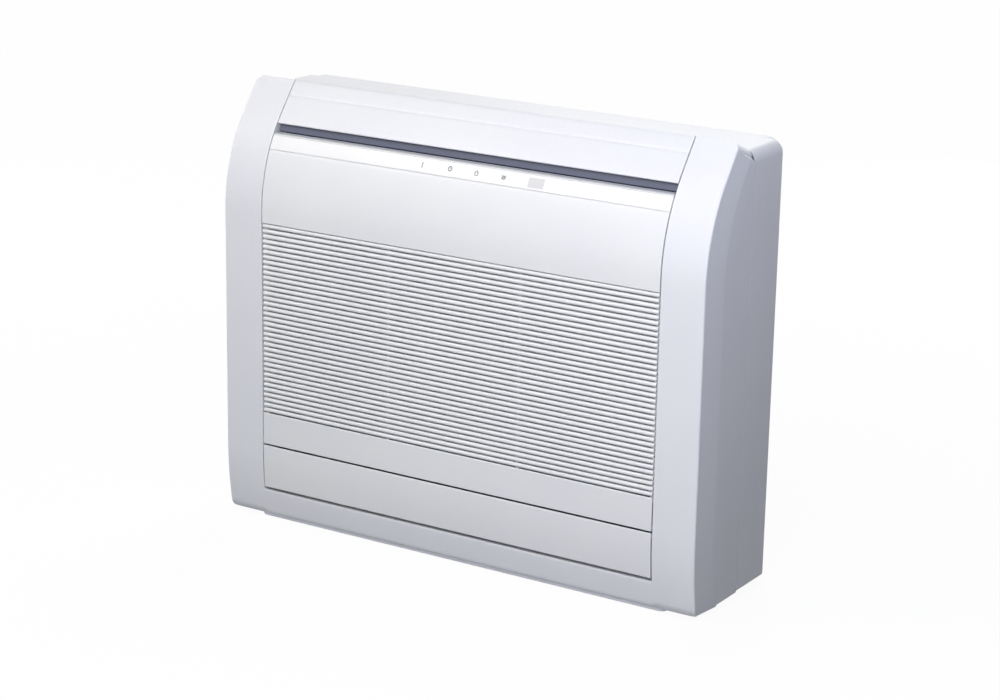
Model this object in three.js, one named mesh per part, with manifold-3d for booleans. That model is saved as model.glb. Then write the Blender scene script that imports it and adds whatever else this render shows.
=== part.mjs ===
// Floor standing air conditioner, a floor console with an upper and a lower air outlet.
// Millimetres, +Z up. X runs to the right seen from the front, the front faces -Y and
// the wall is at +Y. The origin is on the floor, in the middle of the unit.

import * as THREE from 'three';
import { mergeVertices } from 'three/addons/utils/BufferGeometryUtils.js';
import Module from 'manifold-3d';

const wasm = await Module();
wasm.setup();

// ---------------------------------------------------------------- driving sizes

const WIDTH = 740;
const DEPTH = 200;
const HEIGHT = 600;

const GAP = 0.3;              // between pieces that touch
const SEAM = 2;               // visible gap between the centre panels and the cheeks
const SKIN = 2.5;             // wall of the moulded casings
const PANEL = 3;              // wall of the front panels

const halfWidth = WIDTH / 2;
const faceY = -DEPTH / 2;     // the front face and the wall side
const backY = DEPTH / 2;

const CHEEK_WIDTH = 66;       // a wide upright cheek at each end of the front
const BAY_WIDTH = WIDTH - 2 * CHEEK_WIDTH;
const halfBay = BAY_WIDTH / 2;
const panelX = halfBay - SEAM;
const BAND_DEPTH = 40;        // sloping band from the front face back to the side
const BAND_INSET = 5;         // how far the band draws in over that depth
const FRONT_FILLET = 2.4;     // fillet between the front face and the band
const CHEEK_CORNER_R = 12;    // outer top corner of each cheek, seen from the front
const CASING_DEPTH = 108;     // front face to the upright seam in the side
const CASING_REAR_Y = faceY + CASING_DEPTH;
const RETURN_DEPTH = 34;      // inner wall of each cheek, behind the front face

const UPPER_BEND_Z = HEIGHT - 170;  // the front starts to lean back here
const UPPER_BEND_R = 210;
const UPPER_BEND_ANGLE = 37.7;
const LOWER_BEND_Z = 100;     // and tucks under below this height
const LOWER_BEND_R = 500;
const TOP_FALL = 13;          // the top edge drops this much towards the side seam

const CASING_BOTTOM_Z = 5;
const BAR_TOP_Z = 42;         // bottom bar between the cheeks
const BAR_LIP = 12;
const BOTTOM_TUCK = 3;        // the very bottom edge is drawn in this much
const CHASSIS_TOP_Z = HEIGHT - 15;
const CHASSIS_BOTTOM_Z = 9;   // also the casing's bottom behind the band
const CHASSIS_TOP_R = 16;
const CHASSIS_BOTTOM_R = 8;
const CHASSIS_LIP_Y = CASING_REAR_Y - 16;   // the chassis top reaches forward to here in the bay
const REAR_STEP_DEPTH = 16;   // the chassis is narrower over this depth at the wall
const REAR_STEP_IN = 13;      // and by this much on each side, to clear trunking

const HOOK_X = WIDTH * 0.27;  // wall hooks, screws and the pipe opening in the back wall
const HOOK_Z = CHASSIS_TOP_Z - 69;
const HOOK_HALF_WIDTH = 14;
const HOOK_HEIGHT = 6;
const SCREW_R = 5;
const SCREW_Z = 60;
const PIPE_HOLE_LOW_Z = 58;
const PIPE_HOLE_HEIGHT = 74;
const PIPE_HOLE_MARGIN = 8;   // plate to hole, and hole to the chassis side

const FOOT_WIDTH = BAY_WIDTH + 28;
const FOOT_SETBACK = 2;       // behind the casing's bottom edge
const FOOT_REAR_Y = backY - 4;
const FOOT_CORNER_R = 10;

const FLAP_LOW_Z = HEIGHT - 52;     // upper flap, between the slot and the top edge
const FLAP_CREASE_Z = HEIGHT - 18;
const FLAP_TOP_RUN = 9;       // how far the flap turns over the top edge
const FLAP_AXIS_Y = faceY + 76;
const FLAP_AXIS_Z = HEIGHT - 12;
const FLAP_PIN_R = 3;
const FLAP_ARM = 6;           // end arm: thickness, and radius round the pin
const SKIRT_DEPTH = 8;        // the flap's inner skirt that closes the slot behind its edge

const GRILLE_LOW_Z = 109.4;   // intake grille
const GRILLE_TOP_Z = HEIGHT - 63;
const GRILLE_LIP = 4;         // bevelled top edge
const LUG_BACK = 4.5;         // small pivots: this far behind the face
const LUG_IN = 4.5;           // and this far in from the panel's edge
const LUG_PIN_R = 1.5;
const LUG_WIDTH = 5;
const PIN_REACH = 6;          // pins reach this far past the panel's end

const SLAT_LOW_Z = 153.5;     // slatted window
const SLAT_TOP_Z = HEIGHT - 182;
const SLAT_COUNT = 37;
const SLAT_GAP = 1.7;
const SLAT_DEPTH = 5.5;
const SLAT_CROWN = 2.2;
const RAIL_WIDTH = 6;
const RIB_WIDTH = 3;
const RIB_DEPTH = 5;
const RIB_COUNT = 2;

const STRIP_LOW_Z = HEIGHT - 85;    // glossy display strip
const STRIP_TOP_Z = HEIGHT - 67;
const STRIP_THICK = 1.4;
const WINDOW_X = 110;         // receiver window in the strip
const WINDOW_WIDTH = 23.4;
const WINDOW_LOW_Z = STRIP_LOW_Z + 3;
const WINDOW_TOP_Z = STRIP_TOP_Z - 3;

const LOWER_FLAP_LOW_Z = 46;  // lower flap
const LOWER_FLAP_TOP_Z = 106.8;

const SIDE_PLATE_X = halfBay - 12;  // inner face of the two side plates
const SIDE_PLATE_THICK = 4;
const SIDE_PLATE_SETBACK = 16;
const SIDE_PLATE_LOW_Z = 40;
const SIDE_PLATE_TOP_Z = HEIGHT - 20;
const plateOuterX = SIDE_PLATE_X + SIDE_PLATE_THICK;
const guideX = SIDE_PLATE_X - GAP;

const FAN_R = DEPTH * 0.23;   // cross-flow fans
const FAN_Y = backY - FAN_R - 26;
const UPPER_FAN_Z = HEIGHT - 148;
const LOWER_FAN_Z = 178;
const FAN_HALF_LENGTH = SIDE_PLATE_X - 8;
const BLADE_COUNT = 18;
const BLADE_CHORD = 13;
const BLADE_THICK = 1.3;
const FAN_DISC = 2;
const FAN_DISC_HOLE_R = 30;
const FAN_SPANS = 3;
const SHAFT_R = 4;
const MOTOR_R = FAN_R - 8;
const MOTOR_LENGTH = CHEEK_WIDTH - 12;
const BEARING_R = 10;

const GUIDE = 2.5;            // wall of the air guides
const GUIDE_CLEAR = 5;        // fan to guide where the scroll starts
const GUIDE_GROW = 8;         // how much the scroll opens by its end
const TONGUE_CLEAR = 4.5;     // fan to tongue
const FRAME_SETBACK = 14;     // inner front frames behind the face
const UPPER_LIP_Z = HEIGHT - 64;
const UPPER_FRAME_LOW_Z = HEIGHT - 167;
const LOWER_LIP_Z = 107;
const OUTLET_FLOOR_Z = 48;

const VANE_COUNT = 8;         // left-right vanes in the upper outlet
const VANE_PITCH = (2 * (SIDE_PLATE_X - 20)) / VANE_COUNT;
const VANE_HEIGHT = 46;
const VANE_LENGTH = 38;
const VANE_THICK = 1.4;
const VANE_PIN_R = 1.6;
const VANE_CRANK = 12;
const DRIVE_PIN_R = 1.2;
const TIE_BAR_THICK = 2;
const TIE_BAR_WIDTH = 9;

const COIL_HALF_LENGTH = SIDE_PLATE_X - 24;  // heat exchanger
const COIL_LOW_Z = 150;
const COIL_TOP_Z = HEIGHT - 172;
const COIL_BEND_Z = (COIL_LOW_Z + COIL_TOP_Z) / 2;
const COIL_FRONT_Y = faceY + 30;
const COIL_DEPTH = DEPTH * 0.135;
const COIL_LEAN = DEPTH * 0.06;
const COIL_SHEET = 1.5;
const FIN_COUNT = 48;
const FIN_THICK = 1.2;
const TUBE_R = 3.5;
const BEND_COUNT = 6;

const PAN_FRONT_Y = COIL_FRONT_Y - 8;
const PAN_REAR_Y = COIL_FRONT_Y + COIL_DEPTH + 13;
const PAN_TOP_Z = 146;

const FILTER_Y = faceY + 14;
const FILTER_THICK = 3;
const FILTER_LOW_Z = 134;
const FILTER_TOP_Z = HEIGHT - 169;
const FILTER_INNER_X = 1.5;
const FILTER_OUTER_X = SIDE_PLATE_X - 5;
const FILTER_RIM = 7;

const BOX_TOP_Z = HEIGHT - 204;     // control box in the right cheek
const BOX_LOW_Z = LOWER_FAN_Z + MOTOR_R + 22;
const BOX_FRONT_Y = faceY + 64;
const BOX_REAR_Y = backY - 34;
const BOX_WIDTH = CHEEK_WIDTH - 8;
const boxHeight = BOX_TOP_Z - BOX_LOW_Z;
const boxDepth = BOX_REAR_Y - BOX_FRONT_Y;

const PANEL_RIGHT_X = SIDE_PLATE_X - 52;    // indicator case behind the display strip
const PANEL_LEFT_X = PANEL_RIGHT_X - 170;
const PANEL_LOW_Z = HEIGHT - 148;
const PANEL_TOP_Z = HEIGHT - 96;
const PANEL_FACE = 8.2;
const BUTTON_X = PANEL_RIGHT_X - 35;
const BUTTON_Z = HEIGHT - 122;
const BUTTON_R = 4;
const BUTTON_PROUD = 1.8;
const SWITCH_X = PANEL_RIGHT_X - 90;
const SWITCH_TRAVEL = 6;

const GAS_R = 6.35;           // half inch and quarter inch pipes
const LIQUID_R = 3.2;

const BOARD_THICK = 1.6;
const TERMINAL_COUNT = 3;
const TERMINAL_WIDTH = BOX_WIDTH * 0.59;
const TERMINAL_HEIGHT = 16;
const PIPE_DROP_Y = backY - 66;     // where the pipes turn towards the wall
const PIPE_END_Z = 84;

// ---------------------------------------------------------------- colours

const WHITE = { color: 0xe9ebf2, roughness: 0.42, metalness: 0 };
const PALE = { color: 0xf1f2f7, roughness: 0.4, metalness: 0 };
const GLOSS = { color: 0xfbfbfd, roughness: 0.12, metalness: 0 };
const LENS = { color: 0xd9dbe0, roughness: 0.2, metalness: 0 };
const GREY = { color: 0x6f7286, roughness: 0.55, metalness: 0 };
const SLATE = { color: 0x3f4350, roughness: 0.6, metalness: 0 };
const ALUMINIUM = { color: 0xc9ccd2, roughness: 0.35, metalness: 0.9 };
const COPPER = { color: 0xb87349, roughness: 0.3, metalness: 1 };
const BRASS = { color: 0xc2a35a, roughness: 0.3, metalness: 1 };
const STEEL = { color: 0xb9bcc2, roughness: 0.35, metalness: 0.9 };
const RUBBER = { color: 0x24262b, roughness: 0.85, metalness: 0 };
const MESH_GREY = { color: 0x8d929d, roughness: 0.7, metalness: 0 };

// ---------------------------------------------------------------- solid helpers

const alongX = new THREE.Matrix4().makeBasis(
  new THREE.Vector3(0, 1, 0), new THREE.Vector3(0, 0, 1), new THREE.Vector3(1, 0, 0));
const alongY = new THREE.Matrix4().makeBasis(
  new THREE.Vector3(1, 0, 0), new THREE.Vector3(0, 0, 1), new THREE.Vector3(0, -1, 0));

function solid(geometry) {
  const bare = geometry.clone();
  for (const name of Object.keys(bare.attributes)) {
    if (name !== 'position') bare.deleteAttribute(name);
  }
  const merged = mergeVertices(bare, 1e-4);
  return new wasm.Manifold(new wasm.Mesh({
    numProp: 3,
    vertProperties: new Float32Array(merged.attributes.position.array),
    triVerts: new Uint32Array(merged.index.array),
  }));
}

function toGeometry(body) {
  const mesh = body.getMesh();
  const geometry = new THREE.BufferGeometry();
  geometry.setAttribute('position', new THREE.BufferAttribute(mesh.vertProperties, 3));
  geometry.setIndex(new THREE.BufferAttribute(mesh.triVerts, 1));
  return geometry;
}

function shapeOf(points, holes = []) {
  const shape = new THREE.Shape(points.map(([u, v]) => new THREE.Vector2(u, v)));
  for (const hole of holes) {
    shape.holes.push(new THREE.Path(hole.map(([u, v]) => new THREE.Vector2(u, v))));
  }
  return shape;
}

function extrude(shape, depth) {
  return new THREE.ExtrudeGeometry(shape, { depth, bevelEnabled: false, curveSegments: 1 });
}

// A side profile, given as [y, z] points, run from x0 to x1.
function runX(points, x0, x1, holes = []) {
  const geometry = extrude(shapeOf(points, holes), x1 - x0);
  return solid(geometry.applyMatrix4(alongX).translate(x0, 0, 0));
}

// A front outline, given as [x, z] points, run from y0 back to y1.
function runY(points, y0, y1, holes = []) {
  const geometry = extrude(shapeOf(points, holes), y1 - y0);
  return solid(geometry.applyMatrix4(alongY).translate(0, y1, 0));
}

// A plan outline, given as [x, y] points, run from z0 up to z1.
function runZ(points, z0, z1, holes = []) {
  const geometry = extrude(shapeOf(points, holes), z1 - z0);
  return solid(geometry.translate(0, 0, z0));
}

function block(x0, x1, y0, y1, z0, z1) {
  const geometry = new THREE.BoxGeometry(x1 - x0, y1 - y0, z1 - z0);
  return solid(geometry.translate((x0 + x1) / 2, (y0 + y1) / 2, (z0 + z1) / 2));
}

function rodX(radius, x0, x1, y, z, sides = 16) {
  const geometry = new THREE.CylinderGeometry(radius, radius, x1 - x0, sides);
  return solid(geometry.rotateZ(Math.PI / 2).translate((x0 + x1) / 2, y, z));
}

function rodY(radius, y0, y1, x, z, sides = 16) {
  const geometry = new THREE.CylinderGeometry(radius, radius, y1 - y0, sides);
  return solid(geometry.translate(x, (y0 + y1) / 2, z));
}

// A pipe of the given radius along a smooth path through the points.
function pipe(points, radius, steps, sides = 8) {
  const path = new THREE.CatmullRomCurve3(points, false, 'centripetal');
  const circle = [];
  for (let k = 0; k < sides; k += 1) {
    const a = (2 * Math.PI * k) / sides;
    circle.push([radius * Math.cos(a), radius * Math.sin(a)]);
  }
  return solid(new THREE.ExtrudeGeometry(shapeOf(circle), {
    steps, extrudePath: path, bevelEnabled: false,
  }));
}

function join(bodies) {
  return bodies.reduce((whole, body) => whole.add(body));
}

function mirroredPair(body) {
  return [body, body.mirror([1, 0, 0])];
}

function roundedRect(x0, x1, z0, z1, topR, bottomR, steps = 5) {
  const corner = (cx, cz, radius, from) => {
    const points = [];
    for (let k = 0; k <= steps; k += 1) {
      const a = from + (Math.PI / 2) * (k / steps);
      points.push([cx + radius * Math.cos(a), cz + radius * Math.sin(a)]);
    }
    return points;
  };
  return [
    ...corner(x1 - bottomR, z0 + bottomR, bottomR, -Math.PI / 2),
    ...corner(x1 - topR, z1 - topR, topR, 0),
    ...corner(x0 + topR, z1 - topR, topR, Math.PI / 2),
    ...corner(x0 + bottomR, z0 + bottomR, bottomR, Math.PI),
  ];
}

function circlePoints(u, v, radius, sides = 16) {
  const points = [];
  for (let k = 0; k < sides; k += 1) {
    const a = (2 * Math.PI * k) / sides;
    points.push([u + radius * Math.cos(a), v + radius * Math.sin(a)]);
  }
  return points;
}

// ---------------------------------------------------------------- the front profile

const bendEnd = THREE.MathUtils.degToRad(UPPER_BEND_ANGLE);
const upperBendTop = UPPER_BEND_Z + UPPER_BEND_R * Math.sin(bendEnd);

// The front face at height z: its y, and its slope dy/dz.
function face(z) {
  if (z < LOWER_BEND_Z) {
    const drop = LOWER_BEND_Z - z;
    const run = Math.sqrt(LOWER_BEND_R ** 2 - drop ** 2);
    return { y: faceY + LOWER_BEND_R - run, slope: -drop / run };
  }
  if (z <= UPPER_BEND_Z) return { y: faceY, slope: 0 };
  if (z <= upperBendTop) {
    const rise = z - UPPER_BEND_Z;
    const run = Math.sqrt(UPPER_BEND_R ** 2 - rise ** 2);
    return { y: faceY + UPPER_BEND_R - run, slope: rise / run };
  }
  const atBend = faceY + UPPER_BEND_R * (1 - Math.cos(bendEnd));
  return { y: atBend + (z - upperBendTop) * Math.tan(bendEnd), slope: Math.tan(bendEnd) };
}

// A point at height z on the face, moved the given distance in, square to the face.
function inward(z, distance) {
  const { y, slope } = face(z);
  const length = Math.hypot(1, slope);
  return [y + distance / length, z - (distance * slope) / length];
}

// Heights that follow the face from z0 to z1, closer where it bends.
function heights(z0, z1, step = 17) {
  const list = [z0];
  const breaks = [LOWER_BEND_Z, UPPER_BEND_Z, upperBendTop, z1].filter((z) => z > z0 && z <= z1);
  for (const next of breaks) {
    const from = list[list.length - 1];
    const straight = face((from + next) / 2).slope === face(from + (next - from) * 0.9).slope;
    const count = straight ? 1 : Math.max(1, Math.round((next - from) / step));
    for (let k = 1; k <= count; k += 1) list.push(from + ((next - from) * k) / count);
  }
  return list;
}

// The closed [y, z] outline between two depths behind the face.
function faceBand(z0, z1, near, far, step = 17) {
  const list = heights(z0, z1, step);
  const outer = list.map((z) => inward(z, near));
  const inner = list.map((z) => inward(z, far)).reverse();
  return [...outer, ...inner];
}

// A plate of constant wall along a polyline of [y, z] points, the wall on its left side.
function folded(points, wall) {
  const left = [];
  points.forEach((point, k) => {
    const before = points[Math.max(0, k - 1)];
    const after = points[Math.min(points.length - 1, k + 1)];
    const a = new THREE.Vector2(point[0] - before[0], point[1] - before[1]).normalize();
    const b = new THREE.Vector2(after[0] - point[0], after[1] - point[1]).normalize();
    if (a.lengthSq() === 0) a.copy(b);
    if (b.lengthSq() === 0) b.copy(a);
    const normal = new THREE.Vector2(-(a.y + b.y), a.x + b.x).normalize();
    const square = -a.y * normal.x + a.x * normal.y;
    left.push([point[0] + (normal.x * wall) / square, point[1] + (normal.y * wall) / square]);
  });
  return [...points, ...left.reverse()];
}

// ---------------------------------------------------------------- casing

const frontX = halfWidth - BAND_INSET;
const stepY = face(CASING_BOTTOM_Z).y + BAND_DEPTH + BOTTOM_TUCK + 2;

// How far the top edge has dropped at x, round the outer corner of the cheek.
function cornerDrop(x, wall) {
  const radius = CHEEK_CORNER_R - wall;
  const across = x - (frontX - CHEEK_CORNER_R);
  if (across <= 0) return 0;
  if (across >= radius) return radius + (across - radius) * 0.8;
  return radius - Math.sqrt(radius ** 2 - across ** 2);
}

// One ring of the cheek: the face moved back by depth, then the top, the rear edge and
// the bottom. Outside, the bottom steps down to the front just behind the band.
function cheekRing(x, depth, wall, rearY) {
  const drop = cornerDrop(x, wall);
  const rearBottom = CHASSIS_BOTTOM_Z + wall;
  const bottom = wall > 0 ? rearBottom : CASING_BOTTOM_Z + drop * 0.15;
  const peakY = face(HEIGHT).y;
  const fall = TOP_FALL / (CASING_REAR_Y - peakY);
  const topAt = (y) => HEIGHT - wall - drop - Math.max(0, y - peakY) * fall;
  let top = HEIGHT - wall - drop;
  for (let k = 0; k < 30; k += 1) top = topAt(face(top).y + depth + wall);
  const ring = [];
  const squeeze = (top - bottom) / (HEIGHT - CASING_BOTTOM_Z);
  heights(CASING_BOTTOM_Z, HEIGHT, 20).forEach((height, k) => {
    const z = bottom + (height - CASING_BOTTOM_Z) * squeeze;
    ring.push([x, face(z).y + depth + wall + (k === 0 ? BOTTOM_TUCK : 0), z]);
  });
  ring.push([x, rearY, topAt(rearY)], [x, rearY, rearBottom]);
  if (wall === 0) ring.push([x, stepY + 1, rearBottom], [x, stepY, bottom]);
  return ring.reverse();
}

// Joins rings of equal count into one closed body.
function loft(rings) {
  const count = rings[0].length;
  const flat = rings[0].map(([, y, z]) => new THREE.Vector2(y, z));
  const positions = rings.flat(2);
  const index = [];
  rings.slice(1).forEach((ring, r) => {
    for (let k = 0; k < count; k += 1) {
      const a = r * count + k;
      const b = r * count + ((k + 1) % count);
      index.push(a, b, a + count, b, b + count, a + count);
    }
  });
  const last = (rings.length - 1) * count;
  for (const [a, b, c] of THREE.ShapeUtils.triangulateShape(flat, [])) index.push(c, b, a);
  const end = rings[rings.length - 1].map(([, y, z]) => new THREE.Vector2(y, z));
  for (const [a, b, c] of THREE.ShapeUtils.triangulateShape(end, [])) {
    index.push(last + a, last + b, last + c);
  }
  const geometry = new THREE.BufferGeometry();
  geometry.setAttribute('position', new THREE.Float32BufferAttribute(positions, 3));
  geometry.setIndex(index);
  return solid(geometry);
}

function cheek() {
  const outer = loft([
    cheekRing(halfBay, 0, 0, CASING_REAR_Y),
    cheekRing(frontX - CHEEK_CORNER_R, 0, 0, CASING_REAR_Y),
    cheekRing(frontX - CHEEK_CORNER_R * 0.5, 0, 0, CASING_REAR_Y),
    cheekRing(frontX - FRONT_FILLET, 0, 0, CASING_REAR_Y),
    cheekRing(frontX - FRONT_FILLET * 0.3, FRONT_FILLET * 0.3, 0, CASING_REAR_Y),
    cheekRing(frontX, FRONT_FILLET, 0, CASING_REAR_Y),
    cheekRing(halfWidth, BAND_DEPTH, 0, CASING_REAR_Y),
  ]);
  const beyond = CASING_REAR_Y + 20;
  const inner = loft([
    cheekRing(halfBay + SKIN, 0, SKIN, beyond),
    cheekRing(frontX - CHEEK_CORNER_R, 0, SKIN, beyond),
    cheekRing(frontX - CHEEK_CORNER_R * 0.5, 0, SKIN, beyond),
    cheekRing(frontX - SKIN, 0, SKIN, beyond),
    cheekRing(halfWidth - SKIN, BAND_DEPTH, SKIN, beyond),
  ]);
  const edge = heights(BAR_TOP_Z, HEIGHT).map((z) => [face(z).y + RETURN_DEPTH, z])
    .filter(([y]) => y < CASING_REAR_Y);
  const cut = [
    ...edge,
    [CASING_REAR_Y + 1, edge[edge.length - 1][1]],
    [CASING_REAR_Y + 1, BAR_TOP_Z],
  ];
  const trimmed = outer.subtract(inner).subtract(runX(cut, halfBay - 1, halfBay + SKIN + 0.01));
  return trimmed;
}

function bottomBar() {
  const z0 = CASING_BOTTOM_Z;
  const front = heights(z0, BAR_TOP_Z, 12).map((z) => [face(z).y, z]);
  front[0][0] += BOTTOM_TUCK;
  const inner = heights(z0 + SKIN, BAR_TOP_Z - SKIN, 12).map((z) => [face(z).y + SKIN, z]);
  const lipY = face(BAR_TOP_Z).y + BAR_LIP;
  const outline = [
    ...front,
    [lipY, BAR_TOP_Z],
    [lipY, BAR_TOP_Z - SKIN],
    ...inner.reverse(),
    [stepY - SKIN, z0 + SKIN],
    [stepY + 1 - SKIN, CHASSIS_BOTTOM_Z + SKIN],
    [CASING_REAR_Y, CHASSIS_BOTTOM_Z + SKIN],
    [CASING_REAR_Y, CHASSIS_BOTTOM_Z],
    [stepY + 1, CHASSIS_BOTTOM_Z],
    [stepY, z0],
  ];
  return runX(outline, -halfBay - SKIN / 2, halfBay + SKIN / 2);
}

function frontCasing() {
  let body = join([...mirroredPair(cheek()), bottomBar()]);
  const reach = halfBay + SKIN + 1;
  const holes = [
    rodX(FLAP_PIN_R + GAP * 1.3, halfBay - 1, reach, FLAP_AXIS_Y, FLAP_AXIS_Z, 16),
    rodX(LUG_PIN_R + GAP * 1.3, halfBay - 1, reach, faceY + LUG_BACK, grilleAxisZ, 12),
    rodX(LUG_PIN_R + GAP * 1.3, halfBay - 1, reach, faceY + LUG_BACK, lowerFlapAxisZ, 12),
  ];
  for (const hole of holes) {
    for (const side of mirroredPair(hole)) body = body.subtract(side);
  }
  return body;
}

function rearChassis() {
  const y0 = CASING_REAR_Y + 2 * GAP;
  const rearY = backY - REAR_STEP_DEPTH;
  const outline = (half, skin) => roundedRect(-half + skin, half - skin,
    CHASSIS_BOTTOM_Z + skin, CHASSIS_TOP_Z - skin, CHASSIS_TOP_R - skin, CHASSIS_BOTTOM_R - skin);
  const rearHalf = halfWidth - REAR_STEP_IN;
  const outer = runY(outline(halfWidth, 0), y0, rearY).add(runY(outline(rearHalf, 0), y0, backY));
  const inner = runY(outline(halfWidth, SKIN), y0 - 1, rearY - SKIN)
    .add(runY(outline(rearHalf, SKIN), y0 - 1, backY - SKIN));
  let body = outer.subtract(inner);
  const lip = block(-guideX, guideX, CHASSIS_LIP_Y, y0 + 1, CHASSIS_TOP_Z - SKIN, CHASSIS_TOP_Z);
  body = body.add(lip);
  for (const x of [-HOOK_X, HOOK_X]) {
    body = body.subtract(block(x - HOOK_HALF_WIDTH, x + HOOK_HALF_WIDTH, backY - SKIN - 1,
      backY + 1, HOOK_Z, HOOK_Z + HOOK_HEIGHT));
    body = body.subtract(rodY(SCREW_R, backY - SKIN - 1, backY + 1, x, SCREW_Z, 12));
  }
  const hole = roundedRect(-rearHalf + PIPE_HOLE_MARGIN, -plateOuterX - PIPE_HOLE_MARGIN,
    PIPE_HOLE_LOW_Z, PIPE_HOLE_LOW_Z + PIPE_HOLE_HEIGHT, 6, 6, 3);
  return body.subtract(runY(hole, backY - SKIN - 1, backY + 1));
}

function foot() {
  const y0 = face(CASING_BOTTOM_Z).y + BOTTOM_TUCK + FOOT_SETBACK;
  const half = FOOT_WIDTH / 2;
  const plan = roundedRect(-half, half, y0, FOOT_REAR_Y, 3, FOOT_CORNER_R, 4);
  const low = runZ(plan, 0, CASING_BOTTOM_Z - GAP);
  const rear = block(-half + 20, half - 20, stepY + 2, FOOT_REAR_Y - 10,
    CASING_BOTTOM_Z - 2 * GAP, CHASSIS_BOTTOM_Z - GAP);
  return low.add(rear);
}

// ---------------------------------------------------------------- moving panels

const grilleAxisZ = GRILLE_LOW_Z + LUG_IN;
const lowerFlapAxisZ = LOWER_FLAP_TOP_Z - LUG_IN;

// A pair of end lugs with pins, for the two panels that turn close behind the face.
function endLugs(axisZ) {
  const y = faceY + LUG_BACK;
  const lug = block(panelX - LUG_WIDTH, panelX, faceY + PANEL - 0.5, y + 2, axisZ - 2, axisZ + 2);
  const pin = rodX(LUG_PIN_R, panelX - 1, panelX + PIN_REACH, y, axisZ, 12);
  return mirroredPair(lug.add(pin));
}

function softened(points) {
  const list = [];
  points.forEach((p, k) => {
    const before = points[(k + points.length - 1) % points.length];
    const after = points[(k + 1) % points.length];
    const toBefore = new THREE.Vector2(before[0] - p[0], before[1] - p[1]);
    const toAfter = new THREE.Vector2(after[0] - p[0], after[1] - p[1]);
    const turn = Math.abs(toBefore.angle() - toAfter.angle());
    const sharp = Math.abs(turn - Math.PI) > 0.6;
    if (!sharp) {
      list.push(p);
      return;
    }
    const cut = Math.min(1.2, toBefore.length() / 3, toAfter.length() / 3);
    toBefore.setLength(cut);
    toAfter.setLength(cut);
    list.push([p[0] + toBefore.x, p[1] + toBefore.y]);
    list.push([p[0] + toAfter.x, p[1] + toAfter.y]);
  });
  return list;
}

function upperFlap() {
  const low = heights(FLAP_LOW_Z, FLAP_CREASE_Z).map((z) => inward(z, 0));
  const peak = inward(HEIGHT, 0);
  const crease = inward(FLAP_CREASE_Z, 0.5);
  const over = [
    [peak[0] + FLAP_TOP_RUN * 0.45, peak[1] - 0.8],
    [peak[0] + FLAP_TOP_RUN, peak[1] - 3],
    [peak[0] + FLAP_TOP_RUN - 1, peak[1] - 3 - PANEL],
    [peak[0] + 1, peak[1] - PANEL - 1.5],
  ];
  const back = heights(FLAP_LOW_Z, FLAP_CREASE_Z).map((z) => inward(z, PANEL)).reverse();
  const shell = runX([...low, crease, peak, ...over, ...back], -panelX, panelX);
  const skirt = runX([
    inward(FLAP_LOW_Z + 8, PANEL - 0.5),
    inward(FLAP_LOW_Z - 7, SKIRT_DEPTH),
    inward(FLAP_LOW_Z - 7, SKIRT_DEPTH + 2),
    inward(FLAP_LOW_Z + 12, PANEL - 0.5),
  ], 1 - panelX, panelX - 1);
  const arm = rodX(FLAP_ARM, panelX - FLAP_ARM, panelX, FLAP_AXIS_Y, FLAP_AXIS_Z, 16);
  const pin = rodX(FLAP_PIN_R, panelX - 1, panelX + PIN_REACH, FLAP_AXIS_Y, FLAP_AXIS_Z, 16);
  return join([shell, skirt, ...mirroredPair(arm.add(pin))]);
}

function lowerFlap() {
  const outline = softened(faceBand(LOWER_FLAP_LOW_Z, LOWER_FLAP_TOP_Z, 0, PANEL));
  return join([runX(outline, -panelX, panelX), ...endLugs(lowerFlapAxisZ)]);
}

const slatPitch = (SLAT_TOP_Z - SLAT_LOW_Z - SLAT_GAP) / SLAT_COUNT;

// One louvre slat: a crowned front that leans back at its top, and a thin rear edge.
function slatOutline(k) {
  const z0 = SLAT_LOW_Z + SLAT_GAP + slatPitch * k;
  const h = slatPitch - SLAT_GAP;
  return [
    [faceY + SLAT_CROWN, z0],
    [faceY + SLAT_CROWN * 0.1, z0 + h * 0.2],
    [faceY + SLAT_CROWN * 0.12, z0 + h * 0.6],
    [faceY + SLAT_CROWN, z0 + h],
    [faceY + SLAT_DEPTH, z0 + h],
    [faceY + SLAT_DEPTH, z0 + h * 0.45],
  ];
}

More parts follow.
